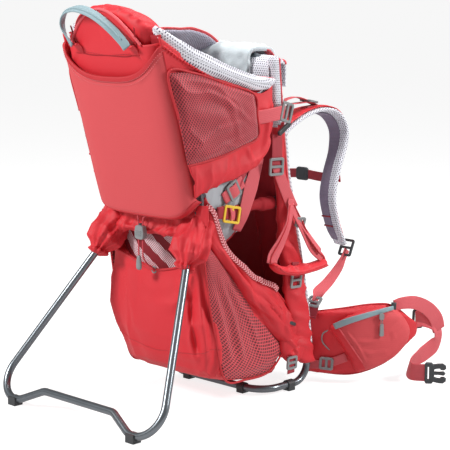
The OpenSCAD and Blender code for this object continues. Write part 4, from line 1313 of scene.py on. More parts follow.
def side_goods():
    """The mesh pocket, the flap over it and the gathered end of the flap."""
    made = []
    yz = coons([(-227, 338), (-217, 340)], [(-167, 60), (-110, 50), (-40, 54), (6, 92)],
               [(-227, 338), (-212, 230), (-192, 140), (-167, 60)],
               [(-217, 340), (-122, 232), (-52, 150), (6, 92)], 49, 81)
    p = np.concatenate([(137 + 0 * yz[..., :1]), yz], -1)
    a = np.linspace(0, 1, 49)[:, None]
    b = np.linspace(0, 1, 81)[None]
    soft = (1 - np.abs(2 * a - 1) ** 4) * smooth(b / 0.15) * smooth((1 - b) / 0.08)
    push = 9 * soft + value_noise(p, 40, 101) * 2.5 * soft
    for line, depth in (([(-200, 290), (-150, 180), (-118, 70)], 5),
                        ([(-190, 280), (-110, 180), (-60, 76)], 5),
                        ([(-205, 250), (-176, 160), (-150, 76)], 4),
                        ([(-150, 238), (-80, 160), (-30, 84)], -4)):
        push = push + crease(p, [(137, *q) for q in line], 10, depth) * soft
    p[..., 0] += push
    made.append(sheet("mesh_pocket_right", p, "pocket_net", 2, (1, 0, 0), replaces=("mesh_pockets",)))
    rim_line = [(-228, 336), (-212, 230), (-192, 140), (-167, 58), (-110, 47), (-40, 51), (8, 90)]
    made.append(cord("mesh_pocket_seam_right", [(139, *q) for q in rim_line], 2.2, "tape", count=140))

    yz = coons([(-224, 342), (-168, 282), (-110, 222), (-44, 146), (16, 84)],
               [(-222, 428), (-176, 330), (-110, 268), (-41, 231), (8, 190)],
               [(-224, 342), (-222, 428)], [(16, 84), (26, 130), (8, 190)], 97, 49)
    p = np.concatenate([(139 + 0 * yz[..., :1]), yz], -1)
    a = np.linspace(0, 1, 97)[:, None]
    b = np.linspace(0, 1, 49)[None]
    soft = smooth((1 - np.abs(2 * b - 1)) / 0.35)
    push = 9 * soft * smooth(a / 0.1) - 6 * np.clip(1 - b / 0.08, 0, 1)
    for line, width, depth in (
        ([(-216, 362), (-150, 276), (-90, 215), (-20, 150)], 9, 6),
        ([(-200, 344), (-130, 262), (-60, 180), (0, 112)], 8, -6),
        ([(-190, 330), (-140, 270), (-100, 222)], 7, 5),
        ([(-110, 250), (-60, 210), (0, 150)], 8, 3.5),
        ([(10, 180), (0, 140), (12, 104)], 9, 5),
        ([(-30, 216), (-20, 190), (-30, 160)], 8, -3),
    ):
        push = push + crease(p, [(139, *q) for q in line], width, depth)
    p[..., 0] += push
    n = grid_normals(p, (1, 0, 0))
    p = folds(p, (0, 0.75, -0.66), 30, 190, 8.0, 111, n * smooth(a / 0.06)[..., None])
    p = folds(p, (0, 0.6, -0.8), 13, 90, 2.0, 112, n * smooth(a / 0.06)[..., None])
    made.append(sheet("side_flap_right", p, "red", 3, (1, 0, 0), replaces=("side_flaps",)))
    edge = p[2:-16, -5]
    edge[:, 0] = p[2:-16, -9:-1, 0].max(1) + 1.8
    trim = strap("flap_trim_right", edge, (1, 0, 0), 11, "trim", 2.6)
    made.append(trim)
    made.append(cord("flap_edge_right", p[:, -1], 2.4, "tape", count=110))

    rings = []
    u = np.linspace(0, 2 * math.pi, 44, endpoint=False)
    axis = curve([(138, -6, 118), (140, 14, 96), (140, 38, 86), (139, 60, 96)], 34)
    for w, q in zip(np.linspace(-0.97, 0.97, 34), axis):
        r = (1 - abs(w) ** 4) ** 0.5
        c, s = np.cos(u), np.sin(u)
        rings.append(q + np.stack([15 * r * np.sign(c) * np.abs(c) ** 0.8, 6 * r * s, 31 * r * s], -1))
    lobe = ring_solid("flap_end_right", rings, "red")

    def shape(q, n):
        m = value_noise(q, 16, 121) * 2.0
        for line, width, depth in (([(152, 0, 118), (156, 22, 96), (150, 34, 70)], 6, 4),
                                   ([(152, 44, 112), (156, 30, 96), (154, 10, 82)], 6, -4),
                                   ([(152, 52, 104), (155, 44, 84), (150, 36, 62)], 6, 3.4),
                                   ([(150, 6, 86), (156, 20, 76), (152, 30, 60)], 5, 3)):
            m = m + crease(q, line, width, depth)
        return n * m[:, None]

    puff(lobe, 4.5, 4, 5, shape)
    made.append(lobe)
    made.append(strap("compression_web_right", [(148, 14, 76), (152, 13, 64), (150, 14, 40)], (1, 0, 0), 21,
                      "web_dark", 2.4,
                      replaces=("compression_straps",)))
    made.append(ladder_lock("compression_buckle_right", (154, 13, 63), (0, 1, 0), (0.05, 0, 1), 28,
                            26, "buckle"))
    return made


def gathered_band():
    """The cloth tunnel under the rear pocket, and the net behind the opening."""
    x = np.linspace(-150, 150, 121)[:, None]
    v = np.linspace(0, 1, 33)[None]
    z = lerp(343 + 10 * (np.abs(x) / 150) ** 2, 414, v)
    y = -243 - 8 * np.exp(-(((v - 0.14) / 0.12) ** 2)) + 22 * (np.abs(x) / 150) ** 4 + 0 * v
    p = np.stack([x + 0 * v, y, z], -1)
    n = grid_normals(p, (0, -1, 0))
    p = wrinkle(p, 50, 4.2, 131, n)
    p = folds(p, (0.25, 0, 1), 16, 90, 6.0, 132, n)
    for k in range(-6, 7):
        p = p + n * crease(p, [(k * 22, -244, 348), (k * 20 + 6, -244, 398)], 6, 2.4)[..., None]
    sheet("gathered_band", p, "red", 5, (0, -1, 0))
    x = np.linspace(-112, 112, 61)[:, None]
    z = np.linspace(225, 356, 41)[None]
    p = np.stack([x + 0 * z, -214 + 8 * np.sin(x / 30) * np.cos(z / 24), z + 0 * x], -1)
    p = wrinkle(p, 40, 4, 133, np.array([0.0, 1, 0]))
    sheet("inner_net", p, "hex_net", 2, (0, -1, 0))


def drawcords():
    cord("drawcord_tail", [(6, -263, 302), (6.5, -255, 288), (4, -240, 278), (1, -231, 273)], 1.5, "cord")
    ring = [(1 + 6 * math.cos(a), -229, 270 + 6 * math.sin(a))
            for a in np.linspace(0, 2 * math.pi, 20, endpoint=False)]
    cord("bag_eyelet", [*ring, ring[0]], 1.7, "buckle", count=40)
    rings = []
    u = np.linspace(0, 2 * math.pi, 24, endpoint=False)
    for z, wide, deep in ((308, 1.6, 1.6), (306, 4.2, 3), (300, 5.6, 3.6), (290, 7.2, 4), (284, 7.4, 4),
                          (280, 5.8, 3.4), (278.5, 2, 1.5)):
        rings.append(np.stack([-6 + wide * np.cos(u), -263 + deep * np.sin(u), np.full_like(u, z - 5)], -1))
    ring_solid("cord_pull", rings, "buckle")
    for side in (-1, 1):
        cord(f"drawcord_loop_{side + 1}",
             [(side * 6, -263, 371), (side * 9, -262, 381), (side * 22, -252, 388)], 1.5, "cord")
    outline = [(-10, -10), (-11, 0), (-9, 10), (-4, 12), (4, 12), (9, 10), (11, 0), (10, -10),
               (6, -12), (-6, -12)]
    place = oriented((0, -263, 350), (1, 0, 0), (0, 0, 1))
    box_solid("cord_lock_body", outline, 12, "buckle", place, 2.4, body="cord_lock", replaces=("cord_lock",))
    for k in range(3):
        z = 344 + 4 * k
        strap(f"cord_lock_rib_{k}", [(-8, -269.4, z), (8, -269.4, z)], (0, -1, 0), 1.6, "buckle", 1.4,
              body="cord_lock")
    rings = []
    for z, r in ((358, 3.1), (362, 3.1), (362.6, 4.0), (366, 4.2), (367.4, 3.6), (368, 1.6)):
        rings.append(np.stack([r * np.cos(u), -263 + r * np.sin(u), np.full_like(u, z)], -1))
    ring_solid("cord_lock_plunger", rings, "dark_plastic", body="cord_button", replaces=("cord_lock_button",))


# ---------------------------------------------------------------- kickstand
KICK_LEAN = math.radians(32.3)


def leg(x, s, out=0.0):
    """A point s down the open kickstand's plane from the hinge, and `out` behind that plane."""
    x, s, out = np.broadcast_arrays(*(np.asarray(a, float) for a in (x, s, out)))
    y = PIVOT[1] - s * math.sin(KICK_LEAN) - out * math.cos(KICK_LEAN)
    z = PIVOT[2] - s * math.cos(KICK_LEAN) + out * math.sin(KICK_LEAN)
    return np.stack([x, y, z], -1)


def leg_sleeve():
    u = np.linspace(0, 2 * math.pi, 64, endpoint=False)
    stations = np.linspace(-34, 82, 60)
    size = np.interp(stations, [-34, -24, 0, 30, 52, 64, 70, 76, 82], [8, 28, 35, 37, 33, 20, 17, 21, 12])
    pleat = np.interp(stations, [-34, 10, 40, 58, 70, 78, 82], [0.0, 0.04, 0.09, 0.15, 0.17, 0.18, 0.08])
    rings = []
    for s, r, w in zip(stations, size, pleat):
        x = 124 + max(0.0, s - 45) * 0.17
        rr = r * (1 + w * np.cos(11 * u + 0.05 * s) + 0.4 * w * np.cos(5 * u + 1.3))
        rings.append(leg(x + rr * np.cos(u), s, 0.86 * rr * np.sin(u)))
    rings = np.array(rings)
    n = unit(rings - rings.mean(1, keepdims=True))
    down = leg(0, 1) - leg(0, 0)
    move = value_noise(rings, 30, 141) * 6 + fold_height(rings, down + (0.2, 0, 0), 17, 50, 142) * 6.5
    move = move * smooth((stations + 34) / 20)[:, None]
    rings = rings + n * move[..., None]
    made = ring_solid("leg_sleeve_right", rings, "red", body=None)
    other = bpy.data.objects.new("leg_sleeve_left", made.data.copy())
    bpy.context.scene.collection.objects.link(other)
    p = coords(other.data)
    p[:, 0] *= -1
    other.data.vertices.foreach_set("co", p.ravel())
    other.data.flip_normals()
    for sleeve in (made, other):
        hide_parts("kickstand_sleeves")
        metres((0, -219, 388))
        metres((0, -252, 318))
        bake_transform(sleeve)


# ---------------------------------------------------------------- shoulder harness
STRAP = [(66, 32, 496), (70, 58, 532), (74, 108, 560), (79, 160, 571), (84, 204, 562), (89, 228, 528),
         (93, 222, 486), (98, 198, 440), (105, 178, 386), (111, 186, 330), (115, 207, 284)]
STRAP_IN = [(0, 0.6, -0.8), (0, 0.35, -1), (0, -0.05, -1), (0, -0.3, -1), (0, -0.8, -0.7), (-0.15, -1, -0.1),
            (-0.2, -1, 0.4), (-0.2, -1, 0.4), (-0.2, -1, 0.1), (-0.2, -1, -0.3), (-0.2, -1, -0.4)]


def shoulder_strap():
    made = []
    count = 120
    path = curve(STRAP, count)
    inward = unit(curve(STRAP_IN, count))
    t = np.linspace(0, 1, count)
    width = np.interp(t, [0, 0.1, 0.4, 0.7, 0.92, 1], [56, 62, 60, 52, 42, 34])
    thick = np.interp(t, [0, 0.06, 0.5, 0.94, 1], [6, 15, 15, 13, 6])
    core = strap("shoulder_pad_right", path, inward, width[::6], "air", thick[::6], count=count, square=3.2,
                 body="shoulder_harness", replaces=("shoulder_strap_right", "shoulder_strap_left"))
    made.append(core)
    _, normal, side = path_frames(path, inward)
    side *= np.sign(side[:, :1])
    lift = np.interp(t, [0, 0.06, 0.94, 1], [3.4, 7.4, 6.4, 3.4])
    w = np.clip(width * 0.62, 0, None)
    face = path + normal * lift[:, None] - side * (width * 0.16)[:, None]
    # The strap's wearer-side face is the darkest air mesh: painted shade on the strap's inner side.
    made.append(strap("shoulder_lining_right", face[3:-3], inward[3:-3], w[3:-3:6], "air_deep_shaded",
                      2.6, count=114,
                      square=3, body="shoulder_harness"))
    back = path - normal * lift[:, None] - side * (width * 0.03)[:, None]
    made.append(strap("shoulder_cover_right", back[2:-2], inward[2:-2], (width * 0.86)[2:-2:6], "red",
                      3.4, count=114,
                      square=3, body="shoulder_harness"))
    top = path - normal * (lift + 2.2)[:, None]
    web = strap("shoulder_web_right", top[30:-2], inward[30:-2], 22, "web", 2, count=90,
                body="shoulder_harness")
    made.append(web)
    for k, share in enumerate((0.86, 0.9)):
        i = int(share * count)
        ends = [face[i] - side[i] * 15 + normal[i] * 1.6, face[i] + side[i] * 15 + normal[i] * 1.6]
        made.append(strap(f"strap_bartack_{k}_right", ends, inward[i], 3.4, "stitch_dark", 1.6,
                          body="shoulder_harness"))
    tail = [(117, 226, 268), (119, 200, 236), (123, 160, 208), (126, 124, 190), (128, 110, 172)]
    low = strap("strap_tail_right", tail, (0.3, 0.6, 0.8), [16, 22, 25, 26, 25], "web", 2.2, body=None,
                replaces=("tail_webbing",))
    lifter = [(60, 20, 608), (64, 50, 596), (70, 90, 587), (77, 138, 588), (80, 158, 582)]
    up = strap("load_lifter_right", lifter, (0, 0.25, 1), 22, "web", 2.4, body=None,
               replaces=("load_lifters",))
    spare = strap("load_lifter_end_right", [(77, 136, 592), (73, 108, 600), (69, 84, 597), (66, 70, 590)],
                  (0, 0.2, 1),
                  20, "web", 2, body="shoulder_harness")
    made.append(spare)
    for webbing_part, start, end in ((low, (124, 130, 188), (118, 212, 250)),
                                     (up, (62, 34, 600), (75, 124, 586))):
        twin = bpy.data.objects.new(webbing_part.name.replace("right", "left"), webbing_part.data.copy())
        bpy.context.scene.collection.objects.link(twin)
        p = coords(twin.data)
        p[:, 0] *= -1
        twin.data.vertices.foreach_set("co", p.ravel())
        twin.data.flip_normals()
        for half, turn in ((webbing_part, 1), (twin, -1)):
            metres(np.array(start) * (turn, 1, 1))
            metres(np.array(end) * (turn, 1, 1))
            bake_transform(half)
    made.append(ladder_lock("lifter_buckle_right", (78, 143, 590), (1, 0, 0), (0, 1, -0.2), 31, 26, "buckle",
                            body="shoulder_harness", replaces=("strap_buckles",)))
    made.append(ladder_lock("strap_end_buckle_right", (117, 224, 273), (1, 0, 0), (0.05, 0.45, 1), 33, 36,
                            "dark_plastic",
                            body="shoulder_harness"))
    return made


def panel_hardware():
    made = []
    for name, centre, along, width, length, look in (
        ("tail_buckle_right", (128, 109, 173), (0, 0.7, 0.7), 33, 24, "buckle"),
        ("top_buckle_right", (88, 17, 668), (0, 0.15, 1), 28, 26, "buckle"),
        ("lifter_anchor_right", (60, 20, 606), (0, 0.3, 1), 27, 22, "buckle"),
    ):
        made.append(ladder_lock(name, centre, (1, 0, 0), along, width, length, look,
                                replaces=("panel_buckles",)))
    made.append(strap("tail_anchor_right", [(128, 112, 170), (128, 106, 156), (127, 100, 140)], (0, 1, 0.3),
                      26, "web_dark", 2.4))
    made.append(strap("top_tab_right", [(88, 17, 680), (88, 16, 690), (88, 2, 702)], (0, 1, 0.4), 20,
                      "web", 2.2))
    return made


def sternum():
    look = "web_dark"
    for side, name in ((1, "right"), (-1, "left")):
        path = [(14 * side, 211, 424), (50 * side, 214, 421), (84 * side, 213, 422), (112 * side, 206, 426)]
        strap(f"sternum_web_{name}", path, (0, -1, 0), 20, look, 2.2, body="sternum_strap",
              replaces=("sternum_webbing",) if side > 0 else ())
        strap(f"sternum_slider_{name}", [(98 * side, 206, 414), (99 * side, 205, 436)], (0, -1, 0), 12,
              "buckle", 5,
              body="sternum_strap")
    place = oriented((0, 211, 424), (1, 0, 0), (0, 0, 1))
    frame_outline = rounded(30, 24, 5)
    slots = [shifted(rounded(3.4, 17, 1.4), side * 10, 0) for side in (-1, 1)]
    box_solid("sternum_clip", frame_outline, 6.5, "dark_plastic", place, 2.4, slots, body="sternum_strap",
              replaces=("sternum_buckle",))


# ---------------------------------------------------------------- hip belt
def on_wing(turn, z, r):
    turn, z, r = np.broadcast_arrays(*(np.asarray(a, float) for a in (turn, z, r)))
    a = np.radians(turn)
    return np.stack([42 + r * np.cos(a), 296 + r * np.sin(a), z], -1)


def wing_coords(q):
    turn = np.degrees(np.arctan2(q[..., 1] - 296, q[..., 0] - 42))
    return turn, q[..., 2], np.hypot(q[..., 0] - 42, q[..., 1] - 296)


def rim_profile(a, b, left, right, low, high):
    """Rises from 0 at a patch's edges to 1 inside, each edge over its own share."""
    ramp = [np.sqrt(np.clip(1 - (1 - np.clip(v / w, 0, 1)) ** 2, 0, 1))
            for v, w in ((a, left), (1 - a, right), (b, low), (1 - b, high))]
    return ramp[0] * ramp[1] * ramp[2] * ramp[3]


def hip_side():
    made = []
    a = np.linspace(0, 1, 81)[:, None]
    b = np.linspace(0, 1, 41)[None]
    tz = coons([(-71, 18), (-43, 15), (-21, 34), (-7, 62), (6, 88)],
               [(-71, 146), (-50, 158), (-29, 166), (-14, 158), (6, 112)],
               [(-71, 18), (-71, 146)], [(6, 88), (7.5, 100), (6, 112)], 81, 41)
    full = rim_profile(a, b, 0.04, 0.08, 0.14, 0.14)
    front = on_wing(tz[..., 0], tz[..., 1], 191 + 7 * full)
    rear = on_wing(tz[..., 0], tz[..., 1], 189 - 7 * full)
    wing = closed("hip_wing_pad_right", front, rear, "red", body="hip_right",
                  replaces=("hip_wing_right", "hip_wing_left"))
    puff(wing, 4.5, 4, 4, lambda q, n: n * (value_noise(q, 36, 151) * 1.5)[:, None])
    flat = lambda q: np.stack([np.radians(wing_coords(q)[0]) * 200, q[:, 2]], -1)
    unwrap(wing, flat)
    paint(wing, "air", lambda c: wing_coords(c)[2] < 187)
    made.append(wing)
    edge = [(-71, 19), (-43, 16), (-21, 35), (-7, 63), (6, 89), (7.5, 100), (6, 111), (-14, 157), (-29, 165),
            (-50, 157), (-71, 145)]
    made.append(cord("hip_wing_piping_right", [on_wing(t, z, 190) for t, z in edge], 2.2, "tape", count=160,
                     body="hip_right"))

    tz = coons([(-40, 20), (-29, 32), (-17, 50), (-8, 84)], [(-57, 118), (-42, 150), (-26, 163), (-13, 152)],
               [(-40, 20), (-47, 66), (-57, 118)], [(-8, 84), (-6, 112), (-13, 152)], 61, 61)
    a = np.linspace(0, 1, 61)[:, None]
    b = np.linspace(0, 1, 61)[None]
    full = rim_profile(a, b, 0.26, 0.2, 0.14, 0.28)
    sag = 1 + 0.12 * np.exp(-(((b - 0.3) / 0.25) ** 2))
    front = on_wing(tz[..., 0], tz[..., 1], 203 + 17 * full * sag)
    rear = on_wing(tz[..., 0], tz[..., 1], 200.5 + 0 * full)
    pocket = closed("hip_pocket_body_right", front, rear, "coral", body="hip_right",
                    replaces=("hip_pocket_right", "hip_pocket_left"))

    def shape(q, n):
        m = value_noise(q, 30, 161) * 1.1
        for line, width, depth in (([(-44, 96), (-34, 92), (-24, 96)], 7, 1.8),
                                   ([(-42, 78), (-32, 66), (-22, 72)], 8, 1.8),
                                   ([(-47, 118), (-40, 84), (-35, 46)], 4,
                                    2.4), ([(-14, 130), (-20, 110), (-20, 90)], 8, 1.6)):
            m = m + crease(q, [on_wing(t, z, 223) for t, z in line], width, depth)
        return n * m[:, None]

    puff(pocket, 4.5, 4, 4, shape)
    unwrap(pocket, flat)

    def red_part(c):
        t, z, _ = wing_coords(c)
        seam = np.interp(z, [20, 40, 117, 150], [-33, -36.5, -49, -54])
        zip_z = np.interp(t, [-57, -52, -38, -20, -8], [118, 128, 149, 158, 150])
        return (t < seam) | (z > zip_z)

    paint(pocket, "red", red_part)
    made.append(pocket)
    pipe = [on_wing(t, z, r) for t, z,
            r in ((-50.5, 122, 219), (-45, 92, 223), (-40.5, 66, 223), (-36, 42, 220), (-33, 34, 213))]
    made.append(cord("hip_pocket_piping_right", pipe, 1.3, "piping", count=60, body="hip_right"))
    line = [on_wing(t, z, r) for t, z,
            r in ((-53, 124, 217), (-46, 137, 223), (-38, 147, 224.5), (-28, 156, 223), (-19, 160, 217))]
    facing = [on_wing(t, 0, 1) - on_wing(t, 0, 0) for t in (-53, -46, -38, -28, -19)]
    made.append(strap("hip_zip_flap_right", line, facing, [13, 14, 14, 13, 9], "grey_tape", 3.2, square=3,
                      body="hip_right"))
    loop = [on_wing(t, z, r) for t, z,
            r in ((-57, 112, 200), (-60, 104, 206), (-60, 88, 207), (-57, 74, 204), (-55, 68, 200))]
    made.append(cord("hip_elastic_loop_right", loop, 1.4, "buckle", count=30, body="hip_right"))
    web = [on_wing(t, z, r) for t, z, r in ((-70, 36, 202), (-62, 38, 205), (-55, 44, 206), (-46, 56, 205))]
    face = [on_wing(t, 0, 1) - on_wing(t, 0, 0) for t in (-70, -62, -55, -46)]
    made.append(strap("hip_stabiliser_right", web, face, 19, "web", 2.4, body="hip_right"))
    across = on_wing(-58, 42, 207) - on_wing(-60, 40, 207)
    made.append(ladder_lock("hip_stabiliser_lock_right", on_wing(-57.5, 41.5, 208.5), (0, 0.1, 1),
                            across, 25, 28,
                            body="hip_right"))
    return made


def zip_pull():
    """The hip pocket's zip slider under its flap, and a cord loop with a moulded tab."""
    across = on_wing(-26.5, 0, 200) - on_wing(-28.5, 0, 200)
    slider = box_solid("zip_slider_right", rounded(9, 12, 3), 3.6, "buckle",
                       oriented(on_wing(-27.5, 146, 228.6), across, (0, 0, 1)), 1.0, body="zip_right")
    loop = [on_wing(-27.9, 143, 229), on_wing(-28.0, 134, 229.6), on_wing(-27.5, 126, 229.4),
            on_wing(-27.0, 134, 229.6),
            on_wing(-27.1, 143, 229)]
    line = cord("zip_cord_right", loop, 0.9, "buckle", count=40, body="zip_right")
    tab = box_solid("zip_tab_right", [(-3, 12), (3, 12), (4, -10), (2.4, -12), (-2.4, -12), (-4, -10)],
                    3.2, "buckle",
                    oriented(on_wing(-27.5, 117, 229.6), across, (0, 0, 1)), 1.0, body="zip_right",
                    replaces=("zip_pull_right", "zip_pull_left"))
    return [slider, line, tab]


WEB_PATH = [(232, 322, 117), (238, 343, 117), (246, 369, 104), (250, 380, 80), (250, 373, 60), (249, 345, 47),
            (252, 302, 37), (260, 266, 30), (275, 250, 25), (288, 249, 24), (310, 263, 24)]
WEB_FACE = [(1, -0.3, 0), (1, -0.3, 0.1), (1, -0.2, 0.2), (1, 0, 0.2), (1, 0.3, 0.1), (1, 0.2, -0.1),
            (1, 0.3, 0.2),
            (0.9, 0.7, 0.2), (0.6, 0.9, 0), (-0.3, 1, 0), (-0.5, 1, 0)]


def hip_webbing():
    web = strap("hip_web_right", WEB_PATH, WEB_FACE, 37, "web", 2.4, count=110, body="hip_webbing_right",
                replaces=("hip_strap_right", "hip_strap_left"))
    twin = mirrored(web, "hip_web_left", "hip_webbing_left")
    upper = [(236, 243, 160), (243, 262, 164), (249, 298, 160), (251, 338, 142), (252, 367, 116),
             (252, 379, 88)]
    for side, name in ((1, "right"), (-1, "left")):
        turn = np.array([side, 1, 1])
        outer = strap(f"hip_web_outer_{name}", np.array(upper) * turn, (side, -0.3, 0.15),
                      [24, 30, 34, 36, 36, 34],
                      "web", 2.4, count=70, body=None)
        metres(np.array(upper[1]) * turn)
        metres(np.array(upper[4]) * turn)
        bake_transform(outer)
        ladder_lock(f"hip_tip_lock_{name}", np.array((231, 330, 117)) * turn, (0, 0.05, 1),
                    (0.35 * side, 1, 0), 40, 24,
                    "dark_plastic", body=f"hip_webbing_{name}", replaces=(f"hip_adjuster_{name}",))
        root = [np.array((239, 236, 150)) * turn, np.array((237, 240, 168)) * turn]
        strap(f"hip_web_root_{name}", root, (side, -0.6, 0), 11, "dark_plastic", 4.5, body=f"hip_{name}")
    return [web, twin]


def hip_buckles():
    turn = math.radians(36)
    along = np.array([math.cos(turn), math.sin(turn), 0])
    centre = np.array([308.0, 261.0, 24.0])
    place = oriented(centre, along, (0, 0, 1))
    body = [(0, -19), (2, -21), (12, -21), (17, -16), (17, 16), (12, 21), (2, 21), (0, 19)]
    box_solid("hip_clip_base", body, 8, "hip_buckle", place, 1.6, [shifted(rounded(6, 30, 2), 6, 0)],
              body="hip_webbing_right", replaces=("hip_buckle_male",))
    for side, name in ((1, "upper"), (-1, "lower")):
        arm = [(14, 8), (14, 17), (26, 19.5), (36, 20), (41.5, 16), (42, 11), (38, 8.5), (33, 9),
               (30, 12), (22, 11)]
        box_solid(f"hip_clip_arm_{name}", [(x, side * y) for x, y in arm], 6.5, "hip_buckle", place, 1.4,
                  body="hip_webbing_right")
    bar = [(14, -3), (26, -2.4), (38, -3.4), (41, 0), (38, 3.4), (26, 2.4), (14, 3)]
    box_solid("hip_clip_guide", bar, 5, "hip_buckle", place, 1.0, body="hip_webbing_right")
    other = lambda p: place(p) * (-1, 1, 1)
    shell = [(0, -20), (3, -22), (26, -22), (36, -19), (39, -12), (39, 12), (36, 19), (26, 22),
             (3, 22), (0, 20)]
    holes = [shifted(rounded(5, 30, 2), 7, 0), shifted(rounded(12, 9, 2), 27, 15.5),
             shifted(rounded(12, 9, 2), 27, -15.5)]
    made = box_solid("hip_socket_shell", shell, 11, "hip_buckle", other, 2.4, holes, body="hip_webbing_left",
                     replaces=("hip_buckle_female",))
    made.data.flip_normals()


# ---------------------------------------------------------------- stirrups and handle
def stirrup():
    made = []
    x = 166
    top = (158, 3, 392)
    front = [top, (x, 24, 350), (x, 56, 300), (x + 2, 84, 276), (x + 2, 86, 262)]
    back = [top, (x, -14, 356), (x, -36, 322), (x, -58, 296), (x + 2, -64, 282)]
    for name, line in (("front", front), ("rear", back)):
        facing = [(1, 0, 0), (1, 0.2, 0.1), (1, 0.2, 0.1), (1, 0.2, 0.3), (0.8, 0, 0.6)]
        made.append(strap(f"stirrup_strap_{name}_right", line, facing, [16, 18, 20, 24, 26], "web", 3.2,
                          body="stirrup_right", replaces=("stirrup_right",
                                                          "stirrup_left") if name == "front" else ()))
        edge = np.array(line) + (2.2, 6 if name == "front" else -6, 1)
        made.append(cord(f"stirrup_edge_{name}_right", edge, 1.3, "tape", count=60, body="stirrup_right"))
    path = curve([(x, -66, 281), (x, -40, 266), (x, 0, 258), (x, 44, 259), (x, 84, 264), (x, 92, 272)], 50)
    u = np.linspace(0, 2 * math.pi, 40, endpoint=False)
    c = np.sign(np.cos(u)) * np.abs(np.cos(u)) ** 0.8
    s = np.sign(np.sin(u)) * np.abs(np.sin(u)) ** 0.8
    size = np.interp(np.linspace(0, 1, 50), [0, 0.06, 0.5, 0.94, 1], [4, 8, 9.5, 9, 5])
    rings = [q + np.stack([3 + 17 * r / 9 * c, 0 * c, 0.8 * r * s], -1) for q, r in zip(path, size)]
    bar = ring_solid("stirrup_bar_right", rings, "red", body="stirrup_right")
    bend = ([(x + 20, -30, 272), (x, -10, 270), (x - 14, 10, 268)],
            [(x + 20, 40, 268), (x + 4, 30, 268), (x - 10, 22, 268)],
            [(x + 20, 4, 266), (x + 10, -4, 268), (x, -14, 268)])
    puff(bar, 4, 4, 3, lambda q,
         n: n * (sum(crease(q, k, 6, 2.6) for k in bend) + value_noise(q, 14, 171))[:, None])
    made.append(bar)
    hem = [q + np.array([20, 0, -2.5]) for q in path[3:-3]]
    made.append(cord("stirrup_hem_right", hem, 1.8, "tape", count=70, body="stirrup_right"))
    hang = [(155, 6, 404), (156, 4, 396), (157, 3, 388)]
    made.append(strap("stirrup_tab_right", hang, (1, 0, 0), 18, "web", 3, body="stirrup_right"))
    adjust = [(158, 14, 372), (166, 32, 344), (170, 58, 312), (172, 78, 290)]
    made.append(strap("stirrup_tail_right", adjust, (1, 0.5, 0.4), [14, 16, 17, 17], "web", 2.2,
                      body="stirrup_right"))
    made.append(ladder_lock("stirrup_lock_right", (164, 24, 356), (0.3, 0, 1), (0, 1, -0.9), 20, 22,
                            body="stirrup_right"))
    return made


def carry_handle():
    path = [(-80, -364, 716), (-94, -369, 738), (-96, -374, 760), (-78, -379, 780), (-40, -381, 787),
            (4, -379, 776), (44, -373, 752), (70, -367, 729), (80, -364, 716)]
    facing = [(-0.5, -0.8, 0), (-0.9, -0.5, 0.2), (-0.9, -0.4, 0.5), (-0.3, -0.6, 1), (0.1, -0.6, 1),
              (0.4, -0.6, 0.9),
              (0.5, -0.6, 0.8), (0.5, -0.7, 0.6), (0.5, -0.8, 0)]
    strap("carry_handle_web", path, facing, [17, 20, 21, 22, 22, 22, 22, 20, 17], "grey_tape", 4.4, count=90,
          square=3.2, body="handle", replaces=("carry_handle",))
    strap("carry_handle_core", np.array(path[1:-1]) + (0, -1.8, 1.8), facing[1:-1], [2, 8, 8, 8, 8, 8, 2],
          "grey_tape", 4, count=80,
          square=2.4, body="handle")


# ---------------------------------------------------------------- put it together
rear_pocket()
headrest()
seat_back()
back_system()
chin_pad()
child_seat()
storage_bag()
gathered_band()
drawcords()
leg_sleeve()
sternum()
hip_buckles()
hip_webbing()
carry_handle()

SIDES = {
    "frame": [*seat_arm_covers(), *cockpit_side(), *rim(), *cockpit_lining(), *cockpit_webbing(),
              *upright_cover(), *side_goods(),
              *panel_hardware()],
    "shoulder_harness": shoulder_strap(),
    "hip_left": hip_side(),
    "zip_left": zip_pull(),
    "stirrup_left": stirrup(),
}
for left_body, right_pieces in SIDES.items():
    for right in right_pieces:
        mirrored(right, right.name.replace("_right", "_left"), left_body)

# Each KEEPS share is meant as what is left of a piece's width at a joint's limit, and each anchor beyond a
# piece's outer side as the place it would flatten towards. own_mesh ignores them: each soft piece below only
# gets its own mesh copy.
ACROSS = (1, 0, 0)
BAG_MIDDLE = (0, -110, 180)
BAG_KEEPS, FLAP_KEEPS, STIRRUP_KEEPS = 0.72, 0.97, 0.72
BEYOND_FLAPS, STIRRUP_OUTSIDE = 300, 186

# The bag's cloth and the pieces on it each get their own mesh copy.
for name in ("storage_bag_body", "bag_lip", "bag_bottom_seam", "mesh_pocket_right", "mesh_pocket_left",
             "mesh_pocket_seam_right", "mesh_pocket_seam_left", "inner_net"):
    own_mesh(bpy.data.objects[name], "kickstand_fold", ACROSS, metres(BAG_MIDDLE), BAG_KEEPS)
# The side flaps, their trim and edges each get their own mesh copy; the outside anchor is worked out but not
# passed on.
for name in ("side_flap", "flap_trim", "flap_edge"):
    for side, end in ((1, "right"), (-1, "left")):
        outside = metres((side * BEYOND_FLAPS, *BAG_MIDDLE[1:]))
        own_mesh(bpy.data.objects[f"{name}_{end}"])
# Each stirrup's padded foot gets its own mesh copy; its outside anchor is worked out but not passed on.
for side, end in ((1, "right"), (-1, "left")):
    outside = metres((side * STIRRUP_OUTSIDE, 10, 265))
    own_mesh(bpy.data.objects[f"stirrup_bar_{end}"])

HARD = {
    "tube": ("back_hoop", "base_loop", "seat_arms", "seat_cross_tube", "kickstand_tube"),
    "dark_plastic": ("joiner_sleeves", "frame_brackets", "hinge_brackets", "base_foot_clips",
                     "kickstand_eyes",
                     "kickstand_foot_clips"),
    "steel": ("hinge_pins", "cockpit_wire"),
    "cord": ("drawcord",),
}
for look, nodes in HARD.items():
    for name in nodes:
        node = frame["nodes"][name]
        node.data.materials.clear()
        node.data.materials.append(LOOKS[look])

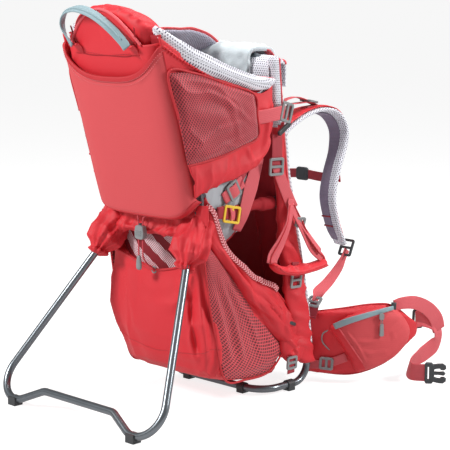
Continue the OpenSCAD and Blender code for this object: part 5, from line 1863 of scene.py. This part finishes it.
# ---------------------------------------------------------------- floor, light and camera
FLOOR_GLOW, FLOOR_SEEN = 0.32, 0.50  # the floor's own light, and what the camera sees on top of it
SKY_LIGHT = 0.26


def studio():
    floor = bpy.data.meshes.new("floor")
    r = 400.0
    floor.from_pydata([(-r, -r, 0), (r, -r, 0), (r, r, 0), (-r, r, 0)], [], [(0, 1, 2, 3)])
    ground = bpy.data.objects.new("floor", floor)
    bpy.context.scene.collection.objects.link(ground)
    ground.location.z = -0.0005
    look = Look("floor_white")
    look.set(Base_Color=look.varied((0.42, 0.42, 0.42), 0.01), Roughness=0.95, Specular_IOR_Level=0.0)
    direct = look.node("ShaderNodeLightPath").outputs["Is Camera Ray"]
    glow = look.math("ADD", look.math("MULTIPLY", direct, FLOOR_SEEN), FLOOR_GLOW)
    look.set(Emission_Color=(1.0, 1.0, 1.0), Emission_Strength=glow)
    floor.materials.append(look.material)
    world = bpy.data.worlds.new("studio")
    bpy.context.scene.world = world
    world.use_nodes = True
    tree = world.node_tree
    sky = tree.nodes["Background"]
    seen = tree.nodes.new("ShaderNodeLightPath")
    strength = tree.nodes.new("ShaderNodeMix")
    strength.inputs["A"].default_value = SKY_LIGHT
    strength.inputs["B"].default_value = 1.0
    tree.links.new(seen.outputs["Is Camera Ray"], strength.inputs["Factor"])
    tree.links.new(strength.outputs["Result"], sky.inputs["Strength"])
    sky.inputs["Color"].default_value = (1, 1, 1, 1)
    for name, place, aim, size, power in (
        ("key", (-1.0, -2.6, 2.1), (0, 0, 0.45), 0.6, 80),
        ("side", (2.4, 1.5, 1.9), (0, 0, 0.4), 0.5, 63),
        ("top", (0.3, 0.2, 2.6), (0, 0, 0.4), 0.7, 36),
    ):
        light = bpy.data.lights.new(name, "AREA")
        light.size = size
        light.energy = power
        lamp = bpy.data.objects.new(name, light)
        bpy.context.scene.collection.objects.link(lamp)
        lamp.location = place
        lamp.rotation_euler = (Vector(aim) - Vector(place)).to_track_quat("-Z", "Y").to_euler()


PHOTO_TURN, PHOTO_TILT = 45.04, 9.22
PHOTO_PLACE = (2181.5, -2206.5, 837.6)


def photo_camera():
    turn, tilt = math.radians(PHOTO_TURN), math.radians(PHOTO_TILT)
    camera = bpy.data.cameras.new("photo_view")
    camera.lens = 120
    camera.sensor_width = 36
    holder = bpy.data.objects.new("photo_view", camera)
    bpy.context.scene.collection.objects.link(holder)
    holder.location = metres(PHOTO_PLACE)
    aim = Vector((-math.sin(turn) * math.cos(tilt), math.cos(turn) * math.cos(tilt), -math.sin(tilt)))
    holder.rotation_euler = aim.to_track_quat("-Z", "Y").to_euler()
    bpy.context.scene.camera = holder


studio()
photo_camera()
bpy.context.scene.view_settings.view_transform = "Standard"
